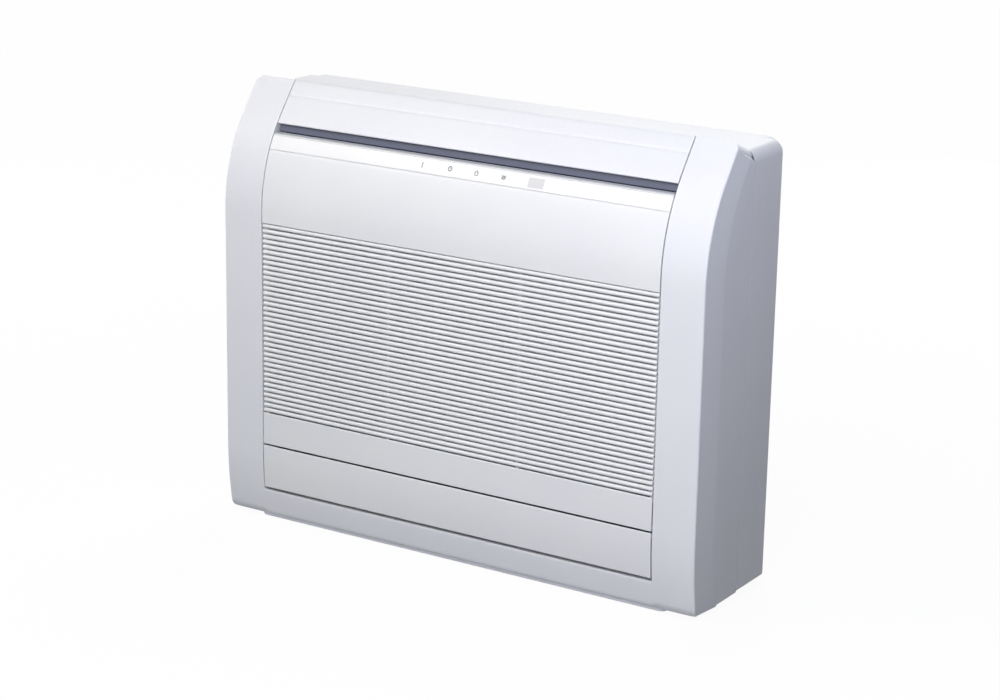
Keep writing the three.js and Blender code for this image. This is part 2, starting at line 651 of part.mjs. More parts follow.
function intakeGrille() {
  const strip = STRIP_THICK + GAP;
  const lipZ = STRIP_TOP_Z + GAP;
  const front = [
    ...heights(SLAT_TOP_Z, STRIP_LOW_Z - GAP).map((z) => inward(z, 0)),
    ...heights(STRIP_LOW_Z - GAP, lipZ, 9).map((z) => inward(z, strip)),
    inward(lipZ, 0),
    inward(GRILLE_TOP_Z, GRILLE_LIP - 1.5),
  ];
  const wall = PANEL + 1;
  const back = heights(SLAT_TOP_Z, GRILLE_TOP_Z - 2).map((z) => inward(z, wall)).reverse();
  const upper = runX([...front, ...back], -panelX, panelX);
  const lower = runX(softened(faceBand(GRILLE_LOW_Z, SLAT_LOW_Z, 0, PANEL)), -panelX, panelX);
  const slatX = panelX - 0.5;
  const slats = [];
  for (let k = 0; k < SLAT_COUNT; k += 1) slats.push(runX(slatOutline(k), -slatX, slatX));
  const y1 = faceY + SLAT_DEPTH - 1;
  const ribLow = SLAT_LOW_Z - 4;
  const ribTop = SLAT_TOP_Z + 4;
  const railY = faceY + SLAT_CROWN + 0.6;
  const rails = mirroredPair(
    block(panelX - RAIL_WIDTH, panelX, railY, y1 + RIB_DEPTH, ribLow, ribTop));
  const ribs = [];
  for (let k = 1; k <= RIB_COUNT; k += 1) {
    const x = -panelX + (2 * panelX * k) / (RIB_COUNT + 1);
    ribs.push(block(x - RIB_WIDTH / 2, x + RIB_WIDTH / 2, y1, y1 + RIB_DEPTH, ribLow, ribTop));
  }
  const hookZ = ribLow + 0.2;
  const joiner = block(-panelX, panelX, faceY + PANEL - 0.5, y1 + RIB_DEPTH, ribLow - 3, hookZ);
  const header = block(-panelX, panelX, faceY + PANEL, y1 + RIB_DEPTH, ribTop - 3, ribTop + 1);
  return join([upper, lower, ...slats, ...rails, ...ribs, joiner, header,
    ...endLugs(grilleAxisZ)]);
}

function displayStrip() {
  const body = runX(faceBand(STRIP_LOW_Z, STRIP_TOP_Z, 0, STRIP_THICK, 9), -panelX, panelX);
  const half = WINDOW_WIDTH / 2 + GAP;
  const band = faceBand(WINDOW_LOW_Z - GAP, WINDOW_TOP_Z + GAP, -2, STRIP_THICK + 1, 6);
  return body.subtract(runX(band, WINDOW_X - half, WINDOW_X + half));
}

function receiverWindow() {
  const half = WINDOW_WIDTH / 2;
  const band = faceBand(WINDOW_LOW_Z, WINDOW_TOP_Z, 0.1, STRIP_THICK, 6);
  return runX(band, WINDOW_X - half, WINDOW_X + half);
}

// ---------------------------------------------------------------- air path

const scrollR = FAN_R + GUIDE_CLEAR;

// The scroll wall behind a fan, from its start round to the outlet. up is +1 or -1.
function scroll(fanZ, up, toDegrees) {
  const points = [];
  const steps = 8;
  for (let k = 0; k <= steps; k += 1) {
    const t = k / steps;
    const a = THREE.MathUtils.degToRad(20 + (toDegrees - 20) * t);
    const r = scrollR + GUIDE_GROW * t;
    points.push([FAN_Y + r * Math.sin(a), fanZ - up * r * Math.cos(a)]);
  }
  return points;
}

function upperGuide() {
  const points = scroll(UPPER_FAN_Z, 1, 130);
  const end = points[points.length - 1];
  const top = CHASSIS_TOP_Z - SKIN - 2;
  const lean = Math.tan(THREE.MathUtils.degToRad(40));
  points.push([end[0] - (top - end[1]) * lean, top]);
  return runX(folded(points.reverse(), GUIDE), -guideX, guideX);
}

function lowerGuide() {
  const points = scroll(LOWER_FAN_Z, -1, 150);
  const lip = face(OUTLET_FLOOR_Z).y + BAR_LIP;
  points.push([lip, OUTLET_FLOOR_Z]);
  return runX(folded(points, GUIDE), -guideX, guideX);
}

function centreWall() {
  const upper = scroll(UPPER_FAN_Z, 1, 130)[0];
  const lower = scroll(LOWER_FAN_Z, -1, 150)[0];
  const top = [upper[0], upper[1] - 1];
  const bottom = [lower[0], lower[1] + 1];
  const middle = (top[1] + bottom[1]) / 2;
  const tall = top[1] - bottom[1];
  const bulge = top[0] + tall * 0.112;
  const straight = tall * 0.33;
  const points = [top, [bulge, middle + straight], [bulge, middle - straight], bottom];
  return runX(folded(points.reverse(), GUIDE), -guideX, guideX);
}

const tongueDir = new THREE.Vector2(-0.77, 0.64).normalize();
const tongueTip = [
  FAN_Y + (FAN_R + TONGUE_CLEAR) * tongueDir.x,
  UPPER_FAN_Z + (FAN_R + TONGUE_CLEAR) * tongueDir.y,
];
const upperLip = inward(UPPER_LIP_Z, FRAME_SETBACK - 5);

// Inner front frame above the coil: tongue, outlet lip, front wall and shelf in one fold.
function upperFrame() {
  const wall = heights(UPPER_FRAME_LOW_Z, UPPER_LIP_Z - 14);
  const front = wall.map((z) => inward(z, FRAME_SETBACK)).reverse();
  const shelf = [COIL_FRONT_Y + COIL_LEAN + COIL_DEPTH - 2, UPPER_FRAME_LOW_Z];
  const points = [tongueTip, upperLip, ...front, shelf];
  const body = runX(folded(points, GUIDE), -guideX, guideX);
  return vanePivots().reduce((whole, pivot) => whole.subtract(pivot), body);
}

const lowerTip = [tongueTip[0], LOWER_FAN_Z - (tongueTip[1] - UPPER_FAN_Z)];
const lowerLip = [face(LOWER_LIP_Z).y + FRAME_SETBACK - 3, LOWER_LIP_Z];

// Inner front frame under the coil: tongue, outlet lip and the ledge the filters stand on.
function lowerFrame() {
  const ledge = [FILTER_Y - 0.5, FILTER_LOW_Z - GAP];
  return runX(folded([ledge, lowerLip, lowerTip], GUIDE), -guideX, guideX);
}

// Height of the top of the lower tongue at depth y, where the drain pan lies on it.
function tongueTop(y) {
  const slope = (lowerTip[1] - lowerLip[1]) / (lowerTip[0] - lowerLip[0]);
  return lowerLip[1] + (y - lowerLip[0]) * slope + GUIDE * Math.hypot(1, slope);
}

function sidePlate(side) {
  const low = SIDE_PLATE_LOW_Z;
  const front = heights(low, SIDE_PLATE_TOP_Z - 14).map((z) => inward(z, SIDE_PLATE_SETBACK));
  const outline = [
    ...front,
    [CHASSIS_LIP_Y, SIDE_PLATE_TOP_Z],
    [backY - SKIN - GAP, SIDE_PLATE_TOP_Z],
    [backY - SKIN - GAP, low],
  ];
  const holeR = side < 0 ? BEARING_R + GAP : SHAFT_R * 3;
  const holes = [
    circlePoints(FAN_Y, UPPER_FAN_Z, holeR, 14),
    circlePoints(FAN_Y, LOWER_FAN_Z, holeR, 14),
  ];
  if (side < 0) {
    holes.push(circlePoints(gasPort[1], gasPort[2], GAS_R + 1, 12));
    holes.push(circlePoints(liquidPort[1], liquidPort[2], LIQUID_R + 1, 12));
    holes.push(circlePoints(drainY, drainZ, drainR + GAP, 14));
  }
  const body = runX(outline, SIDE_PLATE_X, plateOuterX, holes);
  return side < 0 ? body.mirror([1, 0, 0]) : body;
}

// ---------------------------------------------------------------- vanes

const tongueLine = new THREE.Vector2(upperLip[0] - tongueTip[0], upperLip[1] - tongueTip[1]);
const tongueLength = tongueLine.length();
const flow = tongueLine.clone().normalize();
const across = new THREE.Vector2(flow.y, -flow.x);
const vaneRoot = [
  tongueTip[0] + flow.x * tongueLength * 0.5,
  tongueTip[1] + flow.y * tongueLength * 0.5,
];

// Moves a body made round the origin, with its pin along Z and the flow along -Y, into place.
function inDuct(body, x) {
  const m = new THREE.Matrix4().makeBasis(
    new THREE.Vector3(1, 0, 0),
    new THREE.Vector3(0, -flow.x, -flow.y),
    new THREE.Vector3(0, across.x, across.y));
  m.setPosition(x, vaneRoot[0], vaneRoot[1]);
  return solid(toGeometry(body).applyMatrix4(m));
}

function rodZ(radius, z0, z1, x, y, sides = 12) {
  const geometry = new THREE.CylinderGeometry(radius, radius, z1 - z0, sides);
  return solid(geometry.rotateX(Math.PI / 2).translate(x, y, (z0 + z1) / 2));
}

function vanePositions() {
  const list = [];
  for (let k = 0; k < VANE_COUNT; k += 1) list.push((k - (VANE_COUNT - 1) / 2) * VANE_PITCH);
  return list;
}

function vanePivots() {
  return vanePositions().map((x) =>
    inDuct(rodZ(VANE_PIN_R + GAP, -GUIDE - 2, GUIDE + 2, 0, 0, 8), x));
}

function vane(x) {
  const half = VANE_THICK / 2;
  const outline = [
    [-VANE_LENGTH / 2, 1],
    [VANE_LENGTH / 2, 1],
    [VANE_LENGTH / 2 - 4, VANE_HEIGHT],
    [-VANE_LENGTH / 2 + 8, VANE_HEIGHT],
  ];
  const plate = runX(outline, -half, half);
  const pivot = rodZ(VANE_PIN_R, -GUIDE, 3, 0, 0, 8);
  const drive = rodZ(DRIVE_PIN_R, VANE_HEIGHT - 3, VANE_HEIGHT + TIE_BAR_THICK + 2, 0, VANE_CRANK, 6);
  return inDuct(join([plate, pivot, drive]), x);
}

function tieBar() {
  const half = ((VANE_COUNT - 1) / 2) * VANE_PITCH + 8;
  const w = TIE_BAR_WIDTH / 2;
  const z0 = VANE_HEIGHT + GAP * 2;
  const z1 = z0 + TIE_BAR_THICK;
  const slot = DRIVE_PIN_R + GAP;
  let bar = block(-half, half, VANE_CRANK - w, VANE_CRANK + w, z0, z1);
  for (const x of vanePositions()) {
    bar = bar.subtract(block(x - slot, x + slot, VANE_CRANK - slot - 1, VANE_CRANK + slot,
      z0 - 1, z1 + 1));
  }
  return inDuct(bar, 0);
}

// ---------------------------------------------------------------- fans and motors

// One forward-curved blade in the fan's plane, as a short arc of even thickness.
function bladeOutline(angle) {
  const outer = [];
  const inner = [];
  for (let k = 0; k <= 2; k += 1) {
    const r = FAN_R - BLADE_CHORD + (BLADE_CHORD * k) / 2;
    const sweep = 0.16 * k + 0.1 * k * k;
    const half = BLADE_THICK / 2 / r;
    outer.push([r * Math.cos(angle + sweep + half), r * Math.sin(angle + sweep + half)]);
    inner.push([r * Math.cos(angle + sweep - half), r * Math.sin(angle + sweep - half)]);
  }
  return [...inner, ...outer.reverse()];
}

function crossFlowFan(fanZ) {
  const blades = [];
  for (let k = 0; k < BLADE_COUNT; k += 1) {
    const outline = bladeOutline((2 * Math.PI * k) / BLADE_COUNT);
    blades.push(runX(outline, -FAN_HALF_LENGTH + 1, FAN_HALF_LENGTH - 1));
  }
  const discs = [];
  for (let k = 0; k <= FAN_SPANS; k += 1) {
    const atEnd = k === 0 || k === FAN_SPANS;
    const middle = -FAN_HALF_LENGTH + FAN_DISC / 2;
    const x = middle + ((2 * FAN_HALF_LENGTH - FAN_DISC) * k) / FAN_SPANS;
    const rim = circlePoints(0, 0, FAN_R + 1.2, 18);
    const holes = atEnd ? [] : [circlePoints(0, 0, FAN_DISC_HOLE_R, 12)];
    discs.push(runX(rim, x - FAN_DISC / 2, x + FAN_DISC / 2, holes));
  }
  const left = rodX(SHAFT_R, -plateOuterX - 2, -FAN_HALF_LENGTH + 1, 0, 0);
  const right = rodX(SHAFT_R, FAN_HALF_LENGTH - 1, plateOuterX + 12, 0, 0);
  const hub = rodX(SHAFT_R * 2.4, FAN_HALF_LENGTH - 1, FAN_HALF_LENGTH + 5, 0, 0);
  return join([...blades, ...discs, left, right, hub]).translate([0, FAN_Y, fanZ]);
}

function fanMotor(fanZ) {
  const x0 = plateOuterX + GAP;
  const x1 = x0 + MOTOR_LENGTH;
  const profile = [
    [0, x1], [MOTOR_R * 0.35, x1], [MOTOR_R * 0.35, x1 - 6], [MOTOR_R - 4, x1 - 6],
    [MOTOR_R, x1 - 10], [MOTOR_R, x0 + 14], [MOTOR_R + 4, x0 + 14], [MOTOR_R + 4, x0 + 10],
    [MOTOR_R, x0 + 10], [MOTOR_R, x0 + 4], [MOTOR_R - 4, x0], [SHAFT_R + GAP, x0],
    [SHAFT_R + GAP, x0 + 14], [0, x0 + 14],
  ];
  const points = profile.map(([r, x]) => new THREE.Vector2(r, x)).reverse();
  const geometry = new THREE.LatheGeometry(points, 16).rotateZ(-Math.PI / 2);
  return solid(geometry.translate(0, FAN_Y, fanZ));
}

function bearing(fanZ) {
  const x0 = SIDE_PLATE_X;
  const ring = (outer, from, to) => runX(circlePoints(FAN_Y, fanZ, outer, 14), from, to,
    [circlePoints(FAN_Y, fanZ, SHAFT_R + GAP, 12)]);
  const body = ring(BEARING_R, x0, plateOuterX + 1);
  const flange = ring(BEARING_R + 3, plateOuterX + GAP, plateOuterX + 2.5);
  return body.add(flange).mirror([1, 0, 0]);
}

function flapMotor() {
  const x0 = halfBay + SKIN + GAP;
  const centreZ = FLAP_AXIS_Z - 10;
  const body = rodX(12, x0, x0 + 19, FLAP_AXIS_Y + 3, centreZ, 20);
  const ears = block(x0, x0 + 1.5, FLAP_AXIS_Y + 1, FLAP_AXIS_Y + 5, centreZ - 17, centreZ);
  const socket = rodX(FLAP_PIN_R + GAP * 1.3, x0 - 1, x0 + PIN_REACH, FLAP_AXIS_Y, FLAP_AXIS_Z, 16);
  const snout = rodX(FLAP_PIN_R + 1.8, x0, x0 + 8, FLAP_AXIS_Y, FLAP_AXIS_Z, 16);
  return join([body, ears, snout]).subtract(socket).mirror([1, 0, 0]);
}

// ---------------------------------------------------------------- heat exchanger

// The coil's side profile moved out by grow: upright below, leaning back above.
function coilOutline(grow) {
  const y0 = COIL_FRONT_Y - grow;
  const y1 = COIL_FRONT_Y + COIL_DEPTH + grow;
  return [
    [y0, COIL_LOW_Z - grow],
    [y0, COIL_BEND_Z],
    [y0 + COIL_LEAN, COIL_TOP_Z + grow],
    [y1 + COIL_LEAN, COIL_TOP_Z + grow],
    [y1, COIL_BEND_Z],
    [y1, COIL_LOW_Z - grow],
  ];
}

// Upright fins that stand forward from one thin rear sheet, leaning back above the bend.
function coilFins() {
  const y0 = COIL_FRONT_Y;
  const y1 = COIL_FRONT_Y + COIL_DEPTH;
  const step = (2 * COIL_HALF_LENGTH - FIN_THICK) / (FIN_COUNT - 1);
  const plan = [[COIL_HALF_LENGTH, y1], [-COIL_HALF_LENGTH, y1]];
  for (let k = 0; k < FIN_COUNT; k += 1) {
    const x = -COIL_HALF_LENGTH + step * k;
    if (k > 0) plan.push([x, y1 - COIL_SHEET]);
    plan.push([x, y0], [x + FIN_THICK, y0]);
    if (k < FIN_COUNT - 1) plan.push([x + FIN_THICK, y1 - COIL_SHEET]);
  }
  const depth = COIL_TOP_Z - COIL_LOW_Z;
  const fins = new THREE.ExtrudeGeometry(shapeOf(plan), { depth, steps: 2, bevelEnabled: false });
  const place = fins.attributes.position;
  for (let k = 0; k < place.count; k += 1) {
    const lean = (COIL_LEAN * Math.max(0, place.getZ(k) - depth / 2)) / (depth / 2);
    place.setXYZ(k, place.getX(k), place.getY(k) + lean, place.getZ(k) + COIL_LOW_Z);
  }
  return solid(fins);
}

// Points where the tubes leave the coil, in pairs that a return bend joins.
function tubeRow() {
  const list = [];
  const step = (COIL_TOP_Z - COIL_LOW_Z) / (2 * BEND_COUNT);
  for (let k = 0; k < 2 * BEND_COUNT; k += 1) {
    const z = COIL_LOW_Z + step * (k + 0.5);
    const lean = z > COIL_BEND_Z ? (COIL_LEAN * (z - COIL_BEND_Z)) / (COIL_TOP_Z - COIL_BEND_Z) : 0;
    list.push([COIL_FRONT_Y + COIL_DEPTH / 2 + lean, z]);
  }
  return list;
}

function returnBend(a, b, x0) {
  const reach = (b[1] - a[1]) / 2;
  const points = [];
  for (let k = 0; k <= 6; k += 1) {
    const t = (Math.PI * k) / 6;
    const share = (1 - Math.cos(t)) / 2;
    points.push(new THREE.Vector3(x0 + reach * Math.sin(t) * 0.9,
      a[0] + (b[0] - a[0]) * share, a[1] + (b[1] - a[1]) * share));
  }
  return pipe(points, TUBE_R, 6, 6);
}

// The end sheet of the coil with its return bends and the tabs that fix it.
function coilEnd(side) {
  const x0 = COIL_HALF_LENGTH + GAP;
  const sheet = runX(coilOutline(2), x0, x0 + COIL_SHEET);
  const row = tubeRow();
  const bends = [];
  const first = side < 0 ? 1 : 0;
  for (let k = first; k + 1 < row.length; k += 2) {
    bends.push(returnBend(row[k], row[k + 1], x0 + COIL_SHEET - 0.5));
  }
  const tab = (z) => block(x0, guideX, COIL_FRONT_Y + 2, COIL_FRONT_Y + COIL_DEPTH, z, z + COIL_SHEET);
  const topTab = tab(COIL_TOP_Z + 2 - COIL_SHEET).translate([0, COIL_LEAN, 0]);
  const body = join([sheet, tab(COIL_LOW_Z - 2), topTab, ...bends]);
  return side < 0 ? body.mirror([1, 0, 0]) : body;
}

const drainR = 6;
const drainY = COIL_FRONT_Y + 12;
const drainZ = tongueTop(drainY) + GUIDE + drainR + 3;

// Trough with a sloping floor that lies along the lower tongue.
function drainPan() {
  const floorAt = (y) => tongueTop(y) + GAP;
  const outline = [
    [PAN_FRONT_Y, floorAt(PAN_FRONT_Y)],
    [PAN_REAR_Y, floorAt(PAN_REAR_Y)],
    [PAN_REAR_Y, PAN_TOP_Z],
    [PAN_REAR_Y - GUIDE, PAN_TOP_Z],
    [PAN_REAR_Y - GUIDE, floorAt(PAN_REAR_Y - GUIDE) + GUIDE],
    [PAN_FRONT_Y + GUIDE, floorAt(PAN_FRONT_Y + GUIDE) + GUIDE],
    [PAN_FRONT_Y + GUIDE, PAN_TOP_Z],
    [PAN_FRONT_Y, PAN_TOP_Z],
  ];
  const end = [outline[0], outline[1], outline[2], outline[7]];
  const trough = runX(outline, -guideX, guideX);
  const body = join([trough, ...mirroredPair(runX(end, guideX - GUIDE, guideX))]);
  return body.subtract(rodX(drainR + GAP, -guideX - 1, -guideX + GUIDE + 1, drainY, drainZ, 14));
}

function drainSpout() {
  const x1 = -guideX + GUIDE - 0.5;
  const ring = circlePoints(drainY, drainZ, drainR - 1.5, 12);
  return runX(circlePoints(drainY, drainZ, drainR, 14), -plateOuterX - 16, x1, [ring]);
}

const gasPort = [-COIL_HALF_LENGTH, tubeRow()[0][0], tubeRow()[0][1]];
const liquidPort = [-COIL_HALF_LENGTH, tubeRow()[2 * BEND_COUNT - 1][0],
  tubeRow()[2 * BEND_COUNT - 1][1]];

function refrigerantPipe(port, radius, dropX, endY, endZ) {
  const [, y, z] = port;
  const start = -COIL_HALF_LENGTH - COIL_SHEET - 2 * GAP;
  const points = [
    new THREE.Vector3(start, y, z),
    new THREE.Vector3(-plateOuterX - 3, y, z),
    new THREE.Vector3(dropX + 16, y, z),
    new THREE.Vector3(dropX, y + 3, z - 16),
    new THREE.Vector3(dropX, endY - 6, endZ + 30),
    new THREE.Vector3(dropX, endY + 14, endZ),
    new THREE.Vector3(dropX, endY + 34, endZ),
  ];
  return pipe(points, radius, 14, 8);
}

const gasEnd = { x: -plateOuterX - GAS_R - 27.6, y: PIPE_DROP_Y, z: PIPE_END_Z };
const liquidEnd = { x: gasEnd.x - 2 * GAS_R - LIQUID_R, y: PIPE_DROP_Y, z: PIPE_END_Z + 24 };

function flareNut(end, radius) {
  const across = radius * 2;
  const y0 = end.y + 34 + GAP;
  const hex = circlePoints(end.x, end.z, across, 6);
  return runY(hex, y0, y0 + radius * 3, [circlePoints(end.x, end.z, radius, 10)]);
}

// ---------------------------------------------------------------- filters and controls

// One air filter: a rim with ribs round a thin mesh.
function airFilter(side) {
  const columns = 3;
  const rows = 4;
  const rib = 3;
  const x0 = FILTER_INNER_X;
  const x1 = FILTER_OUTER_X;
  const cellW = (x1 - x0 - 2 * FILTER_RIM + rib) / columns;
  const cellH = (FILTER_TOP_Z - FILTER_LOW_Z - 2 * FILTER_RIM + rib) / rows;
  let body = block(x0, x1, FILTER_Y, FILTER_Y + FILTER_THICK, FILTER_LOW_Z, FILTER_TOP_Z);
  for (let c = 0; c < columns; c += 1) {
    for (let r = 0; r < rows; r += 1) {
      const x = x0 + FILTER_RIM + c * cellW;
      const z = FILTER_LOW_Z + FILTER_RIM + r * cellH;
      const window = (y0, y1) => block(x, x + cellW - rib, y0, y1, z, z + cellH - rib);
      body = body.subtract(window(FILTER_Y - 1, FILTER_Y + FILTER_THICK - 0.8));
    }
  }
  return side < 0 ? body.mirror([1, 0, 0]) : body;
}

function controlBox() {
  const x0 = plateOuterX + GAP;
  const outer = block(x0, x0 + BOX_WIDTH, BOX_FRONT_Y, BOX_REAR_Y, BOX_LOW_Z, BOX_TOP_Z);
  const inner = block(x0 + SKIN, x0 + BOX_WIDTH - SKIN, BOX_FRONT_Y - 1, BOX_REAR_Y - SKIN,
    BOX_LOW_Z + SKIN, BOX_TOP_Z - SKIN);
  return outer.subtract(inner);
}

function controlBoxCover() {
  const x0 = plateOuterX + GAP;
  const y1 = BOX_FRONT_Y - GAP;
  const outline = roundedRect(x0, x0 + BOX_WIDTH, BOX_LOW_Z, BOX_TOP_Z, 3, 3, 2);
  return runY(outline, y1 - 2, y1);
}

function circuitBoard() {
  const x0 = plateOuterX + GAP + SKIN + GAP;
  const board = block(x0, x0 + BOARD_THICK, BOX_FRONT_Y + 6, BOX_REAR_Y - SKIN - 4,
    BOX_LOW_Z + 8, BOX_TOP_Z - 8);
  const canTop = x0 + BOX_WIDTH * 0.4;
  const cans = [[0.16, 8, 0.39], [0.39, 6, 0.58], [0.65, 7, 0.27]].map(([along, r, up]) =>
    rodX(r, x0 + 1, canTop, BOX_FRONT_Y + boxDepth * along, BOX_LOW_Z + boxHeight * up, 12));
  const relayZ = BOX_LOW_Z + boxHeight * 0.71;
  const relay = block(x0 + 1, x0 + BOX_WIDTH * 0.31, BOX_REAR_Y - boxDepth * 0.39,
    BOX_REAR_Y - boxDepth * 0.14, relayZ, relayZ + boxHeight * 0.14);
  return join([board, ...cans, relay]);
}

function terminalBlock() {
  const x0 = plateOuterX + GAP;
  const z1 = BOX_LOW_Z - GAP;
  const pitch = TERMINAL_WIDTH / (TERMINAL_COUNT + 0.4);
  const z0 = z1 - TERMINAL_HEIGHT;
  let body = block(x0 + 6, x0 + 6 + TERMINAL_WIDTH, BOX_FRONT_Y, BOX_FRONT_Y + 18, z0, z1);
  for (let k = 0; k < TERMINAL_COUNT; k += 1) {
    const x = x0 + 6 + pitch * (k + 0.4);
    body = body.subtract(block(x, x + pitch * 0.6, BOX_FRONT_Y - 1, BOX_FRONT_Y + 6,
      z0 + 3, z1 - 3));
  }
  return body;
}

// Case behind the display strip that holds the push button and the outlet switch.
function indicatorCase() {
  const outline = faceBand(PANEL_LOW_Z, PANEL_TOP_Z, PANEL_FACE, FRAME_SETBACK - GAP);
  let body = runX(outline, PANEL_LEFT_X, PANEL_RIGHT_X);
  body = body.subtract(aimedAtFace(rodZ(BUTTON_R + GAP, -PANEL_FACE - 4.6, 0, 0, 0), BUTTON_X));
  const slot = block(-4 - SWITCH_TRAVEL, 4 + GAP * 2, -2 - GAP, 2 + GAP, -PANEL_FACE - 4, 0);
  return body.subtract(aimedAtFace(slot, SWITCH_X));
}

// Turns a body made with Z square to the face, and moves its origin onto the face.
function aimedAtFace(body, x) {
  const { slope } = face(BUTTON_Z);
  const length = Math.hypot(1, slope);
  const m = new THREE.Matrix4().makeBasis(
    new THREE.Vector3(1, 0, 0),
    new THREE.Vector3(0, slope / length, 1 / length),
    new THREE.Vector3(0, -1 / length, slope / length));
  m.setPosition(x, face(BUTTON_Z).y, BUTTON_Z);
  return solid(toGeometry(body).applyMatrix4(m));
}

function pushButton() {
  const top = -PANEL_FACE + BUTTON_PROUD;
  return aimedAtFace(rodZ(BUTTON_R, -PANEL_FACE - 3, top, 0, 0, 16), BUTTON_X);
}

function outletSwitch() {
  const stem = block(-3.5, 3.5, -2, 2, -PANEL_FACE - 3.5, -PANEL_FACE + 0.4);
  const knob = block(-1.2, 1.2, -2, 2, -PANEL_FACE, -PANEL_FACE + BUTTON_PROUD);
  return aimedAtFace(stem.add(knob), SWITCH_X);
}

// ---------------------------------------------------------------- assembly

const unit = new THREE.Group();

function add(name, body, look, group = unit) {
  const material = new THREE.MeshStandardMaterial({ ...look, flatShading: true });
  const mesh = new THREE.Mesh(toGeometry(body), material);
  mesh.name = name;
  group.add(mesh);
}

add('front_casing', frontCasing(), WHITE);
add('rear_chassis', rearChassis(), WHITE);
add('base_foot', foot(), WHITE);

add('upper_flap', upperFlap(), WHITE);
add('lower_flap', lowerFlap(), WHITE);
add('intake_grille', intakeGrille(), PALE);
add('display_strip', displayStrip(), GLOSS);
add('receiver_window', receiverWindow(), LENS);

add('left_side_plate', sidePlate(-1), GREY);
add('right_side_plate', sidePlate(1), GREY);
add('upper_air_guide', upperGuide(), SLATE);
add('centre_wall', centreWall(), GREY);
add('lower_air_guide', lowerGuide(), SLATE);
add('upper_front_frame', upperFrame(), GREY);
add('lower_front_frame', lowerFrame(), GREY);

add('upper_fan', crossFlowFan(UPPER_FAN_Z), SLATE);
add('lower_fan', crossFlowFan(LOWER_FAN_Z), SLATE);
add('upper_fan_motor', fanMotor(UPPER_FAN_Z), STEEL);
add('lower_fan_motor', fanMotor(LOWER_FAN_Z), STEEL);
add('upper_fan_bearing', bearing(UPPER_FAN_Z), RUBBER);
add('lower_fan_bearing', bearing(LOWER_FAN_Z), RUBBER);
add('upper_flap_motor', flapMotor(), STEEL);

vanePositions().forEach((x, k) => add(`vane_${k + 1}`, vane(x), SLATE));
add('vane_tie_bar', tieBar(), SLATE);

add('coil_fins', coilFins(), ALUMINIUM);
add('coil_end_left', coilEnd(-1), COPPER);
add('coil_end_right', coilEnd(1), COPPER);
add('gas_pipe', refrigerantPipe(gasPort, GAS_R, gasEnd.x, gasEnd.y, gasEnd.z), COPPER);
add('liquid_pipe', refrigerantPipe(liquidPort, LIQUID_R, liquidEnd.x, liquidEnd.y, liquidEnd.z),
  COPPER);
add('gas_flare_nut', flareNut(gasEnd, GAS_R), BRASS);
add('liquid_flare_nut', flareNut(liquidEnd, LIQUID_R), BRASS);
add('drain_pan', drainPan(), SLATE);
add('drain_spout', drainSpout(), SLATE);

add('air_filter_left', airFilter(-1), MESH_GREY);
add('air_filter_right', airFilter(1), MESH_GREY);
add('control_box', controlBox(), GREY);
add('control_box_cover', controlBoxCover(), STEEL);
add('circuit_board', circuitBoard(), { color: 0x2f6b4f, roughness: 0.5, metalness: 0.1 });
add('terminal_block', terminalBlock(), SLATE);
add('indicator_case', indicatorCase(), GREY);
add('push_button', pushButton(), PALE);
add('outlet_switch', outletSwitch(), PALE);

export default unit;
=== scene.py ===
# %% [markdown]
# # A floor standing air conditioner, dressed for the camera
#
# The object is a low white cabinet that stands on the floor against a wall. It blows air
# from a long outlet under its top edge and from a second one near the floor, and draws air
# in through the slatted panel between them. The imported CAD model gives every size, joint
# and inner part. This lesson keeps those solids for the works inside, lays finely shaped
# shells over the white mouldings that the eye lands on, and gives each piece its finish.

# %% Load the frame
import bmesh
import bpy
import numpy as np
from mathutils import Matrix, Vector


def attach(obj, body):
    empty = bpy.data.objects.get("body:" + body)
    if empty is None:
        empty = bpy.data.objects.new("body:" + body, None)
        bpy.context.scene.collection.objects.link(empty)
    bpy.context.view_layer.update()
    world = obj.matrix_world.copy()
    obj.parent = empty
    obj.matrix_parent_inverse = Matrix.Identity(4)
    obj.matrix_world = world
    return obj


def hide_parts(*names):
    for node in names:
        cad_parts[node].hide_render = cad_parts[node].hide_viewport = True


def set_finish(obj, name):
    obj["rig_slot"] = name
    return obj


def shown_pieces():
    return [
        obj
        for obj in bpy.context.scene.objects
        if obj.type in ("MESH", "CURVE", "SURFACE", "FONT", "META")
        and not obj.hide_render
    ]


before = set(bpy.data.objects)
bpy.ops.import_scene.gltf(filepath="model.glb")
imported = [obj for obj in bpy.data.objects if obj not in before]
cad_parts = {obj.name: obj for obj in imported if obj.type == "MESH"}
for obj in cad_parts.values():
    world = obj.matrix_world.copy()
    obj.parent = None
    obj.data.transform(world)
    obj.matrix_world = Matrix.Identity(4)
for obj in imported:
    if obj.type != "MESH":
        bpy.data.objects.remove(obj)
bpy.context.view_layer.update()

# %% [markdown]
# ## The camera
#
# A camera can be placed by eye, by a matched grid, or by solving for it. Here the straight
# edges of the cabinet were solved for together, which gives the turn, the height and the
# focal length at once. Its matrix is written as three directions: right, up and backward.

# %% Camera
YAW, PITCH, ROLL = np.radians([32.098, 16.321, 1.071])
EYE = np.array([1.7857, -2.8268, 1.2493])
FOCAL_PIXELS = 2640.3
SENSOR = 36.0

look = np.array([-np.sin(YAW) * np.cos(PITCH), np.cos(YAW) * np.cos(PITCH), -np.sin(PITCH)])
right = np.cross(look, [0, 0, 1.0])
right /= np.linalg.norm(right)
up = np.cross(right, look)
right, up = (right * np.cos(ROLL) + up * np.sin(ROLL), -right * np.sin(ROLL) + up * np.cos(ROLL))

